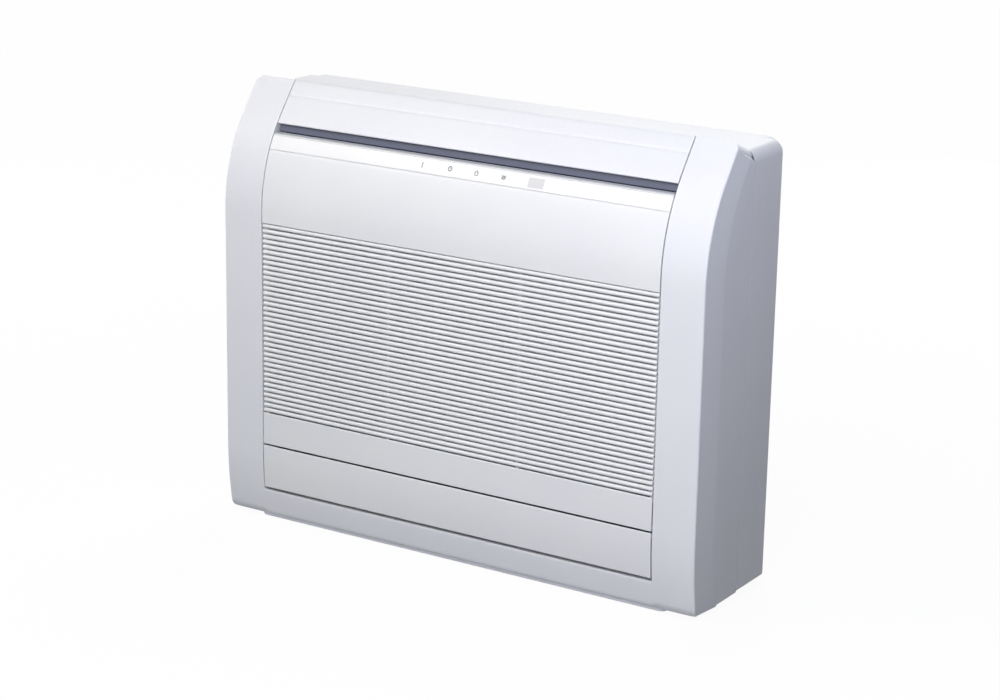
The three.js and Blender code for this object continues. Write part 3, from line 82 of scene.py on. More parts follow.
lens = bpy.data.cameras.new("photo_lens")
lens.sensor_width = SENSOR
lens.lens = FOCAL_PIXELS / 1000 * SENSOR
lens.clip_start, lens.clip_end = 0.05, 40
camera = bpy.data.objects.new("photo_camera", lens)
bpy.context.collection.objects.link(camera)
turn = Matrix([[*row] for row in np.column_stack([right, up, -look])]).to_4x4()
camera.matrix_world = Matrix.Translation(Vector(EYE)) @ turn
bpy.context.scene.camera = camera
print("camera: lens", round(lens.lens, 1), "mm, at", EYE.round(2))

# %% [markdown]
# ## The front profile
#
# All the white front mouldings share one curve. It is upright in the middle, tucks under
# near the floor on a large arc, and leans back above on a tighter one before it runs
# straight to the top edge. A shape that so many pieces share is best kept as one function
# of height, so that seams between them always line up. Sizes here are in millimetres.

# %% Profile of the front
MM = 0.001
WIDTH, DEPTH, HEIGHT = 740.0, 200.0, 600.0
HALF_W, HALF_BAY, FACE_Y, BACK_Y = WIDTH / 2, 304.0, -DEPTH / 2, DEPTH / 2
PANEL_X = HALF_BAY - 1.5
LOW_Z, LOW_R = 100.0, 500.0
HIGH_Z, HIGH_R, HIGH_TURN = 430.0, 210.0, np.radians(37.7)
HIGH_END = HIGH_Z + HIGH_R * np.sin(HIGH_TURN)
CASING_REAR_Y, TOP_FALL, BOTTOM_Z, REAR_BOTTOM_Z = 8.0, 13.0, 5.0, 9.0
SHELL_WALL, PLATE_WALL = 2.4, 3.0


def face_y(z):
    """Depth of the face at height z. Below: centre minus the root of radius squared less
    drop squared. Above the bend: the same with rise, and past its end a straight slope."""
    z = np.asarray(z, float)
    drop = np.clip(LOW_Z - z, 0, LOW_R)
    rise = np.clip(z, HIGH_Z, HIGH_END) - HIGH_Z
    low = LOW_R - np.sqrt(LOW_R**2 - drop**2)
    high = HIGH_R - np.sqrt(HIGH_R**2 - rise**2)
    return FACE_Y + low + high + np.clip(z - HIGH_END, 0, None) * np.tan(HIGH_TURN)


def inward(z, distance):
    """The points at heights z on the face, moved in square to it: the face's tangent is
    (slope, 1), so the step is distance times (1, -slope) over the tangent's length."""
    z = np.asarray(z, float)
    slope = (face_y(z + 0.01) - face_y(z - 0.01)) / 0.02
    length = np.hypot(1, slope)
    return np.column_stack([face_y(z) + distance / length, z - distance * slope / length])


def heights(z0, z1, step=6.0):
    """Even heights from z0 to z1, about step apart."""
    return np.linspace(z0, z1, max(2, int(round((z1 - z0) / step)) + 1))


print("top edge at depth", face_y(600.0).round(1), "and floor edge at", face_y(BOTTOM_Z).round(1))

# %% [markdown]
# ## Tools for surfaces
#
# Long mouldings are one side profile carried along the width. Doing it with arrays keeps
# the sizes exact: the corners are rounded first, by a short curve that leaves each corner
# along its two sides, and then rings of the profile are joined to their neighbours. The
# last rings are drawn in a little, which rounds the ends as a mould would.

# %% Mesh helpers
def rounded(points, radius, steps=4):
    """Each corner P of a closed outline becomes the curve (1-s)^2 A + 2s(1-s) P + s^2 B,
    where A and B lie on its two sides, one radius away or at most 45% along them."""
    p = np.asarray(points, float)
    r = np.broadcast_to(np.asarray(radius, float), len(p))
    to_prev, to_next = np.roll(p, 1, 0) - p, np.roll(p, -1, 0) - p
    lp, ln = np.linalg.norm(to_prev, axis=1), np.linalg.norm(to_next, axis=1)
    cut = np.minimum(r, 0.45 * np.minimum(lp, ln))[:, None]
    a, b = p + to_prev / lp[:, None] * cut, p + to_next / ln[:, None] * cut
    s = np.linspace(0, 1, steps + 1)[None, :, None]
    arc = (1 - s) ** 2 * a[:, None] + 2 * s * (1 - s) * p[:, None] + s**2 * b[:, None]
    flat = arc.reshape(-1, 2)
    keep = np.linalg.norm(flat - np.roll(flat, 1, 0), axis=1) > 1e-4
    return flat[keep]


def shrunk(p, distance):
    """A closed outline moved in by distance along the mean normal of its two sides."""
    e = np.roll(p, -1, 0) - p
    n = np.column_stack([-e[:, 1], e[:, 0]]) / np.linalg.norm(e, axis=1)[:, None]
    area = np.sum(p[:, 0] * np.roll(p[:, 1], -1) - np.roll(p[:, 0], -1) * p[:, 1])
    n = n * (1 if area > 0 else -1)
    m = n + np.roll(n, 1, 0)
    m /= np.maximum(np.linalg.norm(m, axis=1), 1e-6)[:, None]
    return p + m * distance


def quads(rows, cols, wrap=False, first=0):
    """Faces of a grid of points: each joins a point to the next in its row and column."""
    i, j = np.meshgrid(np.arange(rows - 1), np.arange(cols if wrap else cols - 1), indexing="ij")
    k = (j + 1) % cols
    return (first + np.stack([i * cols + j, i * cols + k, (i + 1) * cols + k, (i + 1) * cols + j],
                             -1)).reshape(-1, 4)


ROUND_END = [(0.0, 0.55), (0.16, 0.2), (0.55, 0.0)]


def along_x(profile, x0, x1, ends=ROUND_END):
    """A closed [depth, height] profile carried from x0 to x1. ends lists (distance from the
    end, how far the profile draws in there)."""
    xs = [x0 + d for d, _ in ends] + [x1 - d for d, _ in ends[::-1]]
    draws = [s for _, s in ends] + [s for _, s in ends[::-1]]
    rings = [np.column_stack([np.full(len(profile), x), shrunk(profile, s) if s else profile])
             for x, s in zip(xs, draws)]
    n = len(profile)
    faces = quads(len(rings), n, wrap=True).tolist()
    faces += [list(range(n))[::-1], list(range((len(rings) - 1) * n, len(rings) * n))]
    return np.vstack(rings), faces


def box_solid(x0, x1, y0, y1, z0, z1, r=0.4):
    """A bar with softened edges: its rounded side profile carried from x0 to x1."""
    return along_x(rounded([(y0, z0), (y1, z0), (y1, z1), (y0, z1)], r, 2), x0, x1,
                   [(0.0, r * 0.6), (r * 0.6, 0.0)])


def rod(radius, x0, x1, y, z, sides=40):
    """A round pin along the width: radius times cosine and sine of the turn."""
    a = np.linspace(0, 2 * np.pi, sides, endpoint=False)
    return along_x(np.column_stack([y + radius * np.cos(a), z + radius * np.sin(a)]), x0, x1,
                   [(0.0, 0.3), (0.3, 0.0)])


def joined(parts):
    """Several (points, faces) pairs as one pair, the face numbers moved along."""
    starts = np.cumsum([0] + [len(v) for v, _ in parts[:-1]])
    faces = [[i + s for i in f] for (_, fs), s in zip(parts, starts) for f in fs]
    return np.vstack([v for v, _ in parts]), faces


def mirrored(part):
    """The same shape on the other side: x changes sign, and faces turn to stay outward."""
    v, f = part
    return v * [-1, 1, 1], [list(face)[::-1] for face in f]


def both(part):
    """A piece and its mirror image."""
    return [part, mirrored(part)]


def make(name, part, body, stands_for=(), slot=None, wall=None, bevel=None):
    """Puts points and faces into a mesh at the origin, faces outward, and lets it ride.
    wall gives an open shell its thickness, and bevel softens its sharp edges."""
    points, faces = part
    mesh = bpy.data.meshes.new(name)
    mesh.from_pydata((np.asarray(points) * MM).tolist(), [], [list(map(int, f)) for f in faces])
    bm = bmesh.new()
    bm.from_mesh(mesh)
    bmesh.ops.recalc_face_normals(bm, faces=bm.faces)
    bm.to_mesh(mesh)
    bm.free()
    mesh.shade_smooth()
    piece = bpy.data.objects.new(name, mesh)
    bpy.context.collection.objects.link(piece)
    if wall:
        solidify = piece.modifiers.new("wall", "SOLIDIFY")
        solidify.thickness, solidify.offset = wall * MM, -1
    if bevel:
        soft = piece.modifiers.new("soft_edges", "BEVEL")
        soft.width, soft.segments, soft.angle_limit = bevel * MM, 2, np.radians(38)
        soft.limit_method, soft.use_clamp_overlap = "ANGLE", True
    normals = piece.modifiers.new("even_normals", "WEIGHTED_NORMAL")
    normals.mode, normals.weight, normals.keep_sharp = "FACE_AREA", 50, True
    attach(piece, body)
    if stands_for:
        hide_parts(*stands_for)
    if slot:
        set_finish(piece, slot)
    print(name, len(mesh.polygons), "faces, rides on", body)
    return piece


# %% [markdown]
# ## The front casing
#
# One moulding makes the two wide cheeks and the bar that joins them at the floor. Each
# cheek is a face that follows the front profile, turns through a small fillet into a band
# that leans back to the side, and then runs on as the flat side. Its top edge drops
# towards the wall, and its outer top corner is rounded. Behind the band the bottom steps
# up a little. The cheek is four welded grids with a wall given afterwards.

# %% Cheeks and bottom bar
BAND_INSET, BAND_DEPTH, FILLET, RETURN_DEPTH, CORNER_R, TUCK = 5.0, 40.0, 2.4, 34.0, 12.0, 3.0
FRONT_X = HALF_W - BAND_INSET
PEAK_Y = float(face_y(HEIGHT))
FALL = TOP_FALL / (CASING_REAR_Y - PEAK_Y)
STEP_Y = float(face_y(BOTTOM_Z)) + BAND_DEPTH + TUCK + 2.0


def corner_drop(x):
    """How far the top edge has dropped at x: a quarter circle, radius minus the root of
    radius squared less distance squared, and beyond it a slope of 0.8."""
    across = np.clip(np.asarray(x, float) - (FRONT_X - CORNER_R), 0, None)
    inside = np.minimum(across, CORNER_R)
    return CORNER_R - np.sqrt(CORNER_R**2 - inside**2) + 0.8 * (across - inside)


def cheek():
    """Columns run from the inner wall over the face to the side, each with a place x and a
    depth behind the profile. Rows run up the profile, squeezed between the bottom edge and
    the top edge: 600 less the corner's drop, less the fall times the way behind the peak."""
    a = np.linspace(0, np.pi / 2, 7)
    turn = np.linspace(0, np.arcsin(1 - FILLET / CORNER_R), 6)[:-1]
    cols = np.vstack([
        [[HALF_BAY, RETURN_DEPTH], [HALF_BAY, 20], [HALF_BAY, 8], [HALF_BAY, 2]],
        np.column_stack([HALF_BAY + 0.9 * (1 - np.cos(a)), 0.9 * (1 - np.sin(a))]),
        np.column_stack([np.linspace(HALF_BAY + 6, FRONT_X - CORNER_R - 5, 4), np.zeros(4)]),
        np.column_stack([FRONT_X - CORNER_R * (1 - np.sin(turn)), np.zeros(len(turn))]),
        np.column_stack([FRONT_X - FILLET * (1 - np.sin(a)), FILLET * (1 - np.cos(a))]),
        np.column_stack([np.linspace(FRONT_X + 0.6, HALF_W, 6),
                         np.linspace(FILLET + 5, BAND_DEPTH, 6)]),
    ])
    x, depth = cols[:, 0], cols[:, 1]
    drop = corner_drop(x)
    low, top = BOTTOM_Z + 0.15 * drop, HEIGHT - drop
    for _ in range(60):
        top = HEIGHT - drop - np.maximum(0, face_y(top) + depth - PEAK_Y) * FALL
    s = (np.concatenate([heights(BOTTOM_Z, 100, 5), heights(104, 426, 20), heights(430, HEIGHT, 4)])
         - BOTTOM_Z) / (HEIGHT - BOTTOM_Z)
    z = low + s[:, None] * (top - low)[None, :]
    y = face_y(z) + depth + TUCK * np.clip(1 - (z - low) / 7.0, 0, 1) ** 2
    front = np.stack([np.broadcast_to(x, z.shape), y, z], -1)
    parts = [(front.reshape(-1, 3), quads(*z.shape).tolist())]

    j, rear_top = 4, HEIGHT - (CASING_REAR_Y - PEAK_Y) * FALL
    rest = np.append(STEP_Y, np.linspace(STEP_Y + 1, CASING_REAR_Y, 5))
    share = (np.append(y[0, -1], rest) - y[0, -1]) / (CASING_REAR_Y - y[0, -1])
    lid_y = y[-1, j:] + share[:, None] * (CASING_REAR_Y - y[-1, j:])
    lid_z = z[-1, j:] + share[:, None] * (rear_top - drop[j:] - z[-1, j:])
    floor_y = np.vstack([y[0, j:], np.broadcast_to(rest[:, None], (len(rest), len(x) - j))])
    floor_z = np.full(floor_y.shape, REAR_BOTTOM_Z)
    floor_z[:2] = z[0, j:]
    for yy, zz in ((lid_y, lid_z), (floor_y, floor_z)):
        grid = np.stack([np.broadcast_to(x[j:], yy.shape), yy, zz], -1)
        parts.append((grid.reshape(-1, 3), quads(*yy.shape).tolist()))
    yy = y[:, -1:] + share * (CASING_REAR_Y - y[:, -1:])
    zz = floor_z[:, -1] + s[:, None] * (lid_z[:, -1] - floor_z[:, -1])
    side = np.stack([np.full(yy.shape, HALF_W), yy, zz], -1)
    parts.append((side.reshape(-1, 3), quads(*yy.shape).tolist()))
    return joined(parts)


def weld_mesh(part, distance=0.01):
    """Merges equal corners of the grids and turns the faces outward together."""
    bm = bmesh.new()
    verts = [bm.verts.new(p) for p in np.asarray(part[0]).tolist()]
    for f in part[1]:
        bm.faces.new([verts[i] for i in f])
    bmesh.ops.remove_doubles(bm, verts=bm.verts, dist=distance)
    bmesh.ops.dissolve_degenerate(bm, edges=bm.edges, dist=distance)
    bmesh.ops.recalc_face_normals(bm, faces=bm.faces)
    bm.verts.index_update()
    out = np.array([v.co for v in bm.verts]), [[v.index for v in f.verts] for f in bm.faces]
    centre = out[0].mean(0)
    outward = sum((f.calc_center_median() - Vector(centre)).dot(f.normal) * f.calc_area()
                  for f in bm.faces)
    bm.free()
    return out if outward > 0 else (out[0], [f[::-1] for f in out[1]])


BAR_TOP, BAR_LIP, SKIN = 42.0, 12.0, 2.5
zs = heights(BOTTOM_Z + 3, BAR_TOP - 0.6, 4)
low_y = float(face_y(BOTTOM_Z))
bar_front = np.vstack([[low_y + TUCK + 1, BOTTOM_Z], [low_y + 1.2, BOTTOM_Z + 1.0],
                       np.column_stack([face_y(zs), zs])])
lip_y = float(face_y(BAR_TOP)) + BAR_LIP
zi = heights(BOTTOM_Z + SKIN, BAR_TOP - SKIN, 8)[::-1]
bar_profile = np.vstack([bar_front, [[float(face_y(BAR_TOP)) + 0.7, BAR_TOP], [lip_y, BAR_TOP],
                                     [lip_y, BAR_TOP - SKIN]],
                         np.column_stack([face_y(zi) + SKIN, zi]),
                         [[STEP_Y - SKIN, BOTTOM_Z + SKIN],
                          [STEP_Y + 1 - SKIN, REAR_BOTTOM_Z + SKIN],
                          [CASING_REAR_Y, REAR_BOTTOM_Z + SKIN], [CASING_REAR_Y, REAR_BOTTOM_Z],
                          [STEP_Y + 1, REAR_BOTTOM_Z], [STEP_Y, BOTTOM_Z]]])
bar = along_x(bar_profile, -HALF_BAY - 1.2, HALF_BAY + 1.2, [(0.0, 0.0)])

one = weld_mesh(cheek())
make("casing_cheeks", joined(both(one)), "body", ["front_casing"], "casing_white",
     wall=SHELL_WALL, bevel=0.7)
make("casing_bar", bar, "body", slot="casing_white")

# %% [markdown]
# ## The two flaps
#
# The upper flap closes the top outlet. Its plate leans back with the face, has a shallow
# groove near its upper edge and folds over the top. A skirt behind its lower edge closes the
# slot that is left over the panel, and it is painted slate grey for the shade there. The
# lower flap is a plain curved plate.
# Both are closed profiles carried along the width, with round pins at the ends.

# %% Flaps
AXIS_Y, AXIS_Z = -24.0, 588.0
peak = inward(HEIGHT, 0)[0]
outer = inward(heights(548, 581.0, 3), 0)
inner = inward(heights(548, 582, 6), 3.0)[::-1]
flap_profile = np.vstack([
    outer, inward([581.3], 0.8), inward([582.2], 0.8), inward([582.5], 0.0),
    inward(heights(585, 597.5, 3), 0),
    [peak + [0.6, -0.1], peak + [4.0, -1.1], peak + [8.2, -2.7], peak + [8.9, -3.4],
     peak + [8.6, -5.6], peak + [1.0, -4.6]], inner])
flap_profile = rounded(flap_profile, [1.1] + [0.0] * (len(flap_profile) - 2) + [1.1], 3)
arm = joined([rod(6.0, PANEL_X - 6, PANEL_X, AXIS_Y, AXIS_Z),
              rod(3.0, PANEL_X - 1, PANEL_X + 6, AXIS_Y, AXIS_Z)])
skirt = rounded(np.vstack([inward([556.0], 2.5), inward([541.0], 8.0), inward([541.0], 10.0),
                           inward([560.0], 2.5)]), [0, 0.7, 0.7, 0], 2)
make("upper_flap_shell", joined([along_x(flap_profile, -PANEL_X, PANEL_X)] + both(arm)),
     "upper_flap", ["upper_flap"], "casing_white")
# painted shade: the skirt is coloured dark slate to stand for the shadow under the flap
flap_skirt = make("upper_flap_skirt", along_x(skirt, 1 - PANEL_X, PANEL_X - 1), "upper_flap",
                  slot="slate_plastic")


def end_lugs(axis_z):
    """A small lug behind each end of a panel, with its pin."""
    y = FACE_Y + 4.5
    lug = box_solid(PANEL_X - 5, PANEL_X, FACE_Y + 2.5, y + 2, axis_z - 2, axis_z + 2)
    return both(joined([lug, rod(1.5, PANEL_X - 1, PANEL_X + 6, y, axis_z, 24)]))


def plate(z0, z1, wall, r=1.2):
    """The face between two heights and the same curve one wall behind it."""
    p = np.vstack([inward(heights(z0, z1, 4), 0), inward(heights(z0, z1, 4), wall)[::-1]])
    radii = np.zeros(len(p))
    corner = len(p) // 2
    radii[[0, corner - 1, corner, -1]] = r
    return rounded(p, radii, 4)


make("lower_flap_shell",
     joined([along_x(plate(46, 106.8, PLATE_WALL), -PANEL_X, PANEL_X)] + end_lugs(102.3)),
     "lower_flap", ["lower_flap"], "panel_white")

# %% [markdown]
# ## The intake panel
#
# The middle of the front is one hinged panel. Thirty-seven crowned slats span its width,
# with a plain field above and below them. Each slat is bulged towards the room and its
# ends are rounded over, which gives the wavy edge along the seam. The slats differ only
# in height, so their rings are made once and moved by whole arrays.

# %% Slatted panel
SLAT_LOW, SLAT_TOP, SLATS, SLAT_GAP = 153.5, 418.0, 37, 1.0
PITCH_Z = (SLAT_TOP - SLAT_LOW - SLAT_GAP) / SLATS


def slat():
    """Front: depth is the crown times the distance from the middle to the power 2.2, with
    a deeper crown below the middle. The back is upright over the upper half."""
    h = PITCH_Z - SLAT_GAP
    t = np.linspace(-1, 1, 9)
    bulge = np.where(t < 0, 3.0, 1.8) * np.abs(t) ** 2.2
    front = np.column_stack([FACE_Y + 0.15 + bulge, (t + 1) / 2 * h])
    back = [[FACE_Y + 5.4, h], [FACE_Y + 5.4, h * 0.5]]
    return np.vstack([front, back])


SLAT_END = [(0.0, 0.7), (0.3, 0.25), (0.9, 0.0)]
v0, f0 = along_x(slat(), -PANEL_X + 0.5, PANEL_X - 0.5, SLAT_END)
lift = SLAT_LOW + SLAT_GAP + PITCH_Z * np.arange(SLATS)
slats = (np.array(v0)[None] + lift[:, None, None] * [0, 0, 1]).reshape(-1, 3)
slat_faces = [[i + k * len(v0) for i in f] for k in range(SLATS) for f in f0]

zu = heights(SLAT_TOP, 514.7, 4)
field = np.vstack([inward(zu, 0), inward(heights(514.75, 533.2, 4), 1.7),
                   inward([533.3], 0.25), inward([533.8], 0.05), inward([535.0], 0.8),
                   inward([536.9], 2.6), inward(heights(SLAT_TOP, 535, 4), 4.0)[::-1]])
radii = np.zeros(len(field))
radii[[0, -1]] = 1.1
field = rounded(field, radii, 4)
y1 = FACE_Y + 4.5
rail = box_solid(PANEL_X - 6, PANEL_X, FACE_Y + 4.9, y1 + 5, SLAT_LOW - 4, SLAT_TOP + 4)
ribs = [box_solid(x - 1.5, x + 1.5, y1, y1 + 5, SLAT_LOW - 4, SLAT_TOP + 4)
        for x in (-PANEL_X / 3, PANEL_X / 3)]
joiner = box_solid(-PANEL_X, PANEL_X, FACE_Y + 2.5, y1 + 5, SLAT_LOW - 7, SLAT_LOW - 3.8)
header = box_solid(-PANEL_X, PANEL_X, FACE_Y + 3, y1 + 5, SLAT_TOP + 1, SLAT_TOP + 5)
make("intake_panel", joined(
    [along_x(field, -PANEL_X, PANEL_X),
     along_x(plate(109.4, SLAT_LOW, PLATE_WALL), -PANEL_X, PANEL_X),
     (slats, slat_faces), joiner, header] + both(rail) + ribs + end_lugs(113.9)),
    "intake_grille", ["intake_grille"], "panel_white")

# %% [markdown]
# ## The display strip
#
# A smooth white strip is let into the panel under the outlet, with a lip behind its top
# edge that guides the air. The lip is painted bluish grey, the shade of white plastic in
# the slot. It carries a small grey window for the remote control's signal and a row of
# four printed signs. The signs are ribbons about a tenth of a millimetre thick, laid on
# the strip's own curve. The strip shines only a little, so that it stays short of plain
# white and the signs keep their contrast.

# %% Strip, window and signs
STRIP_LOW, STRIP_TOP = 515.7, 533.0
band = np.vstack([inward(heights(STRIP_LOW, STRIP_TOP, 2), 0.02),
                  inward(heights(STRIP_LOW, STRIP_TOP, 2), 1.4)[::-1]])
radii = np.zeros(len(band))
radii[[0, len(band) // 2 - 1]] = 0.5
make("display_gloss", along_x(rounded(band, radii, 3), -PANEL_X, PANEL_X),
     "intake_grille", ["display_strip"], "gloss_white")

# painted shade: the lip's bluish grey stands for white plastic lying in the slot's shade
lip = np.vstack([inward([536.7], 2.9), inward([539.6], 7.0), inward([539.6], 8.2),
                 inward([536.0], 4.1)])
slot_lip = make("slot_lip", along_x(rounded(lip, [0, 0.5, 0.5, 0], 2), 1 - PANEL_X, PANEL_X - 1),
                "intake_grille", slot="slate_plastic")

WINDOW_X, WINDOW_HALF, WINDOW_LOW, WINDOW_TOP = 110, 11.7, 518, 530
zw = heights(WINDOW_LOW, WINDOW_TOP, 2)
pane = np.vstack([inward(zw, -0.12), inward(zw, 1.0)[::-1]])
radii = np.zeros(len(pane))
radii[[0, len(pane) // 2 - 1]] = 0.4
make("receiver_pane",
     along_x(rounded(pane, radii, 3), WINDOW_X - WINDOW_HALF, WINDOW_X + WINDOW_HALF),
     "intake_grille", ["receiver_window"], "window_grey")


def ribbon(points, width, closed=False):
    """A line of [x, height] points given a width: each point moved half of it to both
    sides of the line's mean direction, then laid on the strip's curve and thickened."""
    p = np.asarray(points, float)
    ahead = np.roll(p, -1, 0) - p
    behind = p - np.roll(p, 1, 0)
    if not closed:
        ahead[-1], behind[0] = behind[-1], ahead[0]
    d = (ahead / np.linalg.norm(ahead, axis=1)[:, None]
         + behind / np.linalg.norm(behind, axis=1)[:, None])
    d /= np.linalg.norm(d, axis=1)[:, None]
    n = np.column_stack([-d[:, 1], d[:, 0]]) * width / 2
    rows = []
    for depth in (-0.09, 0.05):
        for side in (1, -1):
            q = p + side * n
            yz = inward(q[:, 1], depth)
            rows.append(np.column_stack([q[:, 0], yz]))
    a, b, c, e = rows
    ring = np.stack([a, b, e, c], 1)
    count = len(p)
    faces = quads(count, 4, wrap=True).tolist()
    if closed:
        last = (count - 1) * 4
        faces += [[last + k, last + (k + 1) % 4, (k + 1) % 4, k] for k in range(4)]
    else:
        faces += [[3, 2, 1, 0], [(count - 1) * 4 + k for k in range(4)]]
    return ring.reshape(-1, 3), faces


def circle(x, z, r, count=28):
    """Points of a circle: its centre plus r times (cosine, sine) of the turn."""
    a = np.linspace(0, 2 * np.pi, count, endpoint=False)
    return np.column_stack([x + r * np.cos(a), z + r * np.sin(a)])


signs = [ribbon([(-61.3, 521.6), (-61.3, 525), (-61.3, 528.4)], 1.1),
         ribbon(circle(-19.1, 525.4, 2.6), 1.0, closed=True),
         ribbon([(-19.1, 527.0), (-19.1, 525.4), (-17.9, 525.4)], 0.7),
         ribbon([(18.2, 525.2), (21, 528.0), (23.8, 525.2)], 1.0),
         ribbon([(19, 525.2), (19, 522.6), (23, 522.6), (23, 525.2)], 1.0)]
s = np.linspace(0, 1, 14)
for dz in (-1.6, 0, 1.6):
    signs.append(ribbon(np.column_stack([58.6 + 6.2 * s, 524.8 + dz + 0.5 * np.sin(s * 9.4)]), 0.8))
printed = make("strip_signs", joined(signs), "intake_grille", slot="grey_plastic")

# %% [markdown]
# ## The rear chassis and the foot
#
# Behind the front casing stands a shallow tray that carries the works and hangs on or
# leans against the wall. It is a rounded outline carried back, narrower over the last
# sixteen millimetres, and closed by a flat wall with two hook slots, two screw holes and
# an opening for the pipes. The foot is a thin slab under the whole.

# %% Chassis and foot
CHASSIS_TOP = 585


def rounded_box(x0, x1, z0, z1, top_r, low_r, steps=10):
    """Outline with quarter circles: centre plus radius times (cosine, sine) of the turn."""
    a = np.linspace(0, np.pi / 2, steps)
    out = []
    corners = ((x1 - low_r, z0 + low_r, low_r, -90), (x1 - top_r, z1 - top_r, top_r, 0),
               (x0 + top_r, z1 - top_r, top_r, 90), (x0 + low_r, z0 + low_r, low_r, 180))
    for cx, cz, r, first in corners:
        t = a + np.radians(first)
        out.append(np.column_stack([cx + r * np.cos(t), cz + r * np.sin(t)]))
    return np.vstack(out)


def tray():
    """Rings of the outline from the front edge back. Each ring has its depth, how far its
    two sides stand in, and how far its whole edge is drawn in to round the last corner."""
    a = np.linspace(0, np.pi / 2, 5)
    depths = np.concatenate([[8.6, 9.2, 12, 40, 70], 82 + 2 * np.sin(a), [84, 92],
                             97 + 3 * np.sin(a)])
    sides = np.concatenate([np.zeros(5), 2 * (1 - np.cos(a)), np.full(7, 13.0)])
    draw = np.concatenate([[0.35], np.zeros(11), 3 * (1 - np.cos(a))])
    rings = []
    for y, side, d in zip(depths, sides, draw):
        outline = rounded_box(side - HALF_W, HALF_W - side, REAR_BOTTOM_Z, CHASSIS_TOP, 16, 3.5)
        q = shrunk(outline, d)
        rings.append(np.column_stack([q[:, 0], np.full(len(q), y), q[:, 1]]))
    n = len(rings[0])
    points, faces = np.vstack(rings), quads(len(rings), n, wrap=True).tolist()
    bm = bmesh.new()
    loops = [rings[-1][:, [0, 2]], rounded_box(-349, -304, 58, 132, 6, 6, 5)]
    for x in (-199.8, 199.8):
        loops.append(rounded_box(x - 14, x + 14, 516, 522, 1.5, 1.5, 3))
        loops.append(circle(x, 60, 5, 24))
    edges = []
    for loop in loops:
        vs = [bm.verts.new((p[0], BACK_Y, p[1])) for p in loop]
        edges += [bm.edges.new((vs[k], vs[(k + 1) % len(vs)])) for k in range(len(vs))]
    bmesh.ops.triangle_fill(bm, edges=edges, use_beauty=True, use_dissolve=False)
    bm.verts.index_update()
    wall = np.array([v.co for v in bm.verts]), [[v.index for v in f.verts] for f in bm.faces]
    bm.free()
    return joined([(points, faces), wall])


make("chassis_tray", weld_mesh(tray(), 0.02), "body", ["rear_chassis"], "casing_white",
     wall=SHELL_WALL)
make("chassis_lip", box_solid(-291.7, 291.7, -8, 9.4, CHASSIS_TOP - 2.5, CHASSIS_TOP, 0.5),
     "body", slot="casing_white")


def slab(z0, z1, outline, r=1.2):
    """A plan outline raised from z0 to z1 with its upper and lower edges rounded."""
    a = np.linspace(0, np.pi / 2, 4)
    zs = np.concatenate([z0 + r * (1 - np.cos(a)), z1 - r * (1 - np.sin(a))])
    ds = np.concatenate([r * (1 - np.sin(a)), r * (1 - np.cos(a))])
    rings = [np.column_stack([shrunk(outline, d), np.full(len(outline), z)])
             for z, d in zip(zs, ds)]
    n = len(outline)
    faces = quads(len(rings), n, wrap=True).tolist()
    return np.vstack(rings), faces + [list(range(n))[::-1],
                                      list(range((len(rings) - 1) * n, len(rings) * n))]


foot_plan = rounded_box(-318, 318, low_y + TUCK + 2, 96, 3, 10, 8)
make("foot_slab", joined([slab(0, 4.7, foot_plan),
                          box_solid(-298, 298, STEP_Y + 2, 86, 4.2, 8.7, 0.5)]),
     "body", ["base_foot"], "casing_white")

# %% [markdown]
# ## Shared effects for the finishes
#
# Real mouldings are never one flat colour. Three effects return in many finishes: a fine
# spark-etched grain, a slow drift of tone over a large moulding, and a little dust that
# settles on faces that look up. Each is a node group with its own inputs, built once.

# %% Effect groups
def group(name, inputs, outputs):
    """An empty shader group with named sockets; returns it with its in and out nodes."""
    tree = bpy.data.node_groups.new(name, "ShaderNodeTree")
    for n, kind, default in inputs:
        s = tree.interface.new_socket(name=n, in_out="INPUT", socket_type=kind)
        s.default_value = default
    for n, kind in outputs:
        tree.interface.new_socket(name=n, in_out="OUTPUT", socket_type=kind)
    return tree, tree.nodes.new("NodeGroupInput"), tree.nodes.new("NodeGroupOutput")


def node(tree, kind, links=None, **settings):
    """Adds a node, sets its properties or inputs by name, and links its inputs."""
    n = tree.nodes.new(kind)
    for key, value in settings.items():
        if key in n.inputs:
            n.inputs[key].default_value = value
        else:
            setattr(n, key, value)
    for key, source in (links or {}).items():
        tree.links.new(source, n.inputs[key])
    return n


F, C, V = "NodeSocketFloat", "NodeSocketColor", "NodeSocketVector"

tree, gin, gout = group("moulded_grain", [("Vector", V, (0, 0, 0)), ("Scale", F, 900.0),
                                          ("Roughness", F, 0.4), ("Spread", F, 0.06)],
                        [("Height", F), ("Roughness", F)])
fine = node(tree, "ShaderNodeTexNoise",
            {"Vector": gin.outputs["Vector"], "Scale": gin.outputs["Scale"]},
            Detail=3.0, Roughness=0.6)
wide = node(tree, "ShaderNodeTexNoise", {"Vector": gin.outputs["Vector"]}, Scale=22.0, Detail=3.0)
centred = node(tree, "ShaderNodeMath", {0: wide.outputs["Fac"]}, operation="SUBTRACT")
centred.inputs[1].default_value = 0.5
spread = node(tree, "ShaderNodeMath", {0: centred.outputs[0], 1: gin.outputs["Spread"],
                                       2: gin.outputs["Roughness"]}, operation="MULTIPLY_ADD")
tree.links.new(fine.outputs["Fac"], gout.inputs["Height"])
tree.links.new(spread.outputs[0], gout.inputs["Roughness"])
GRAIN = tree

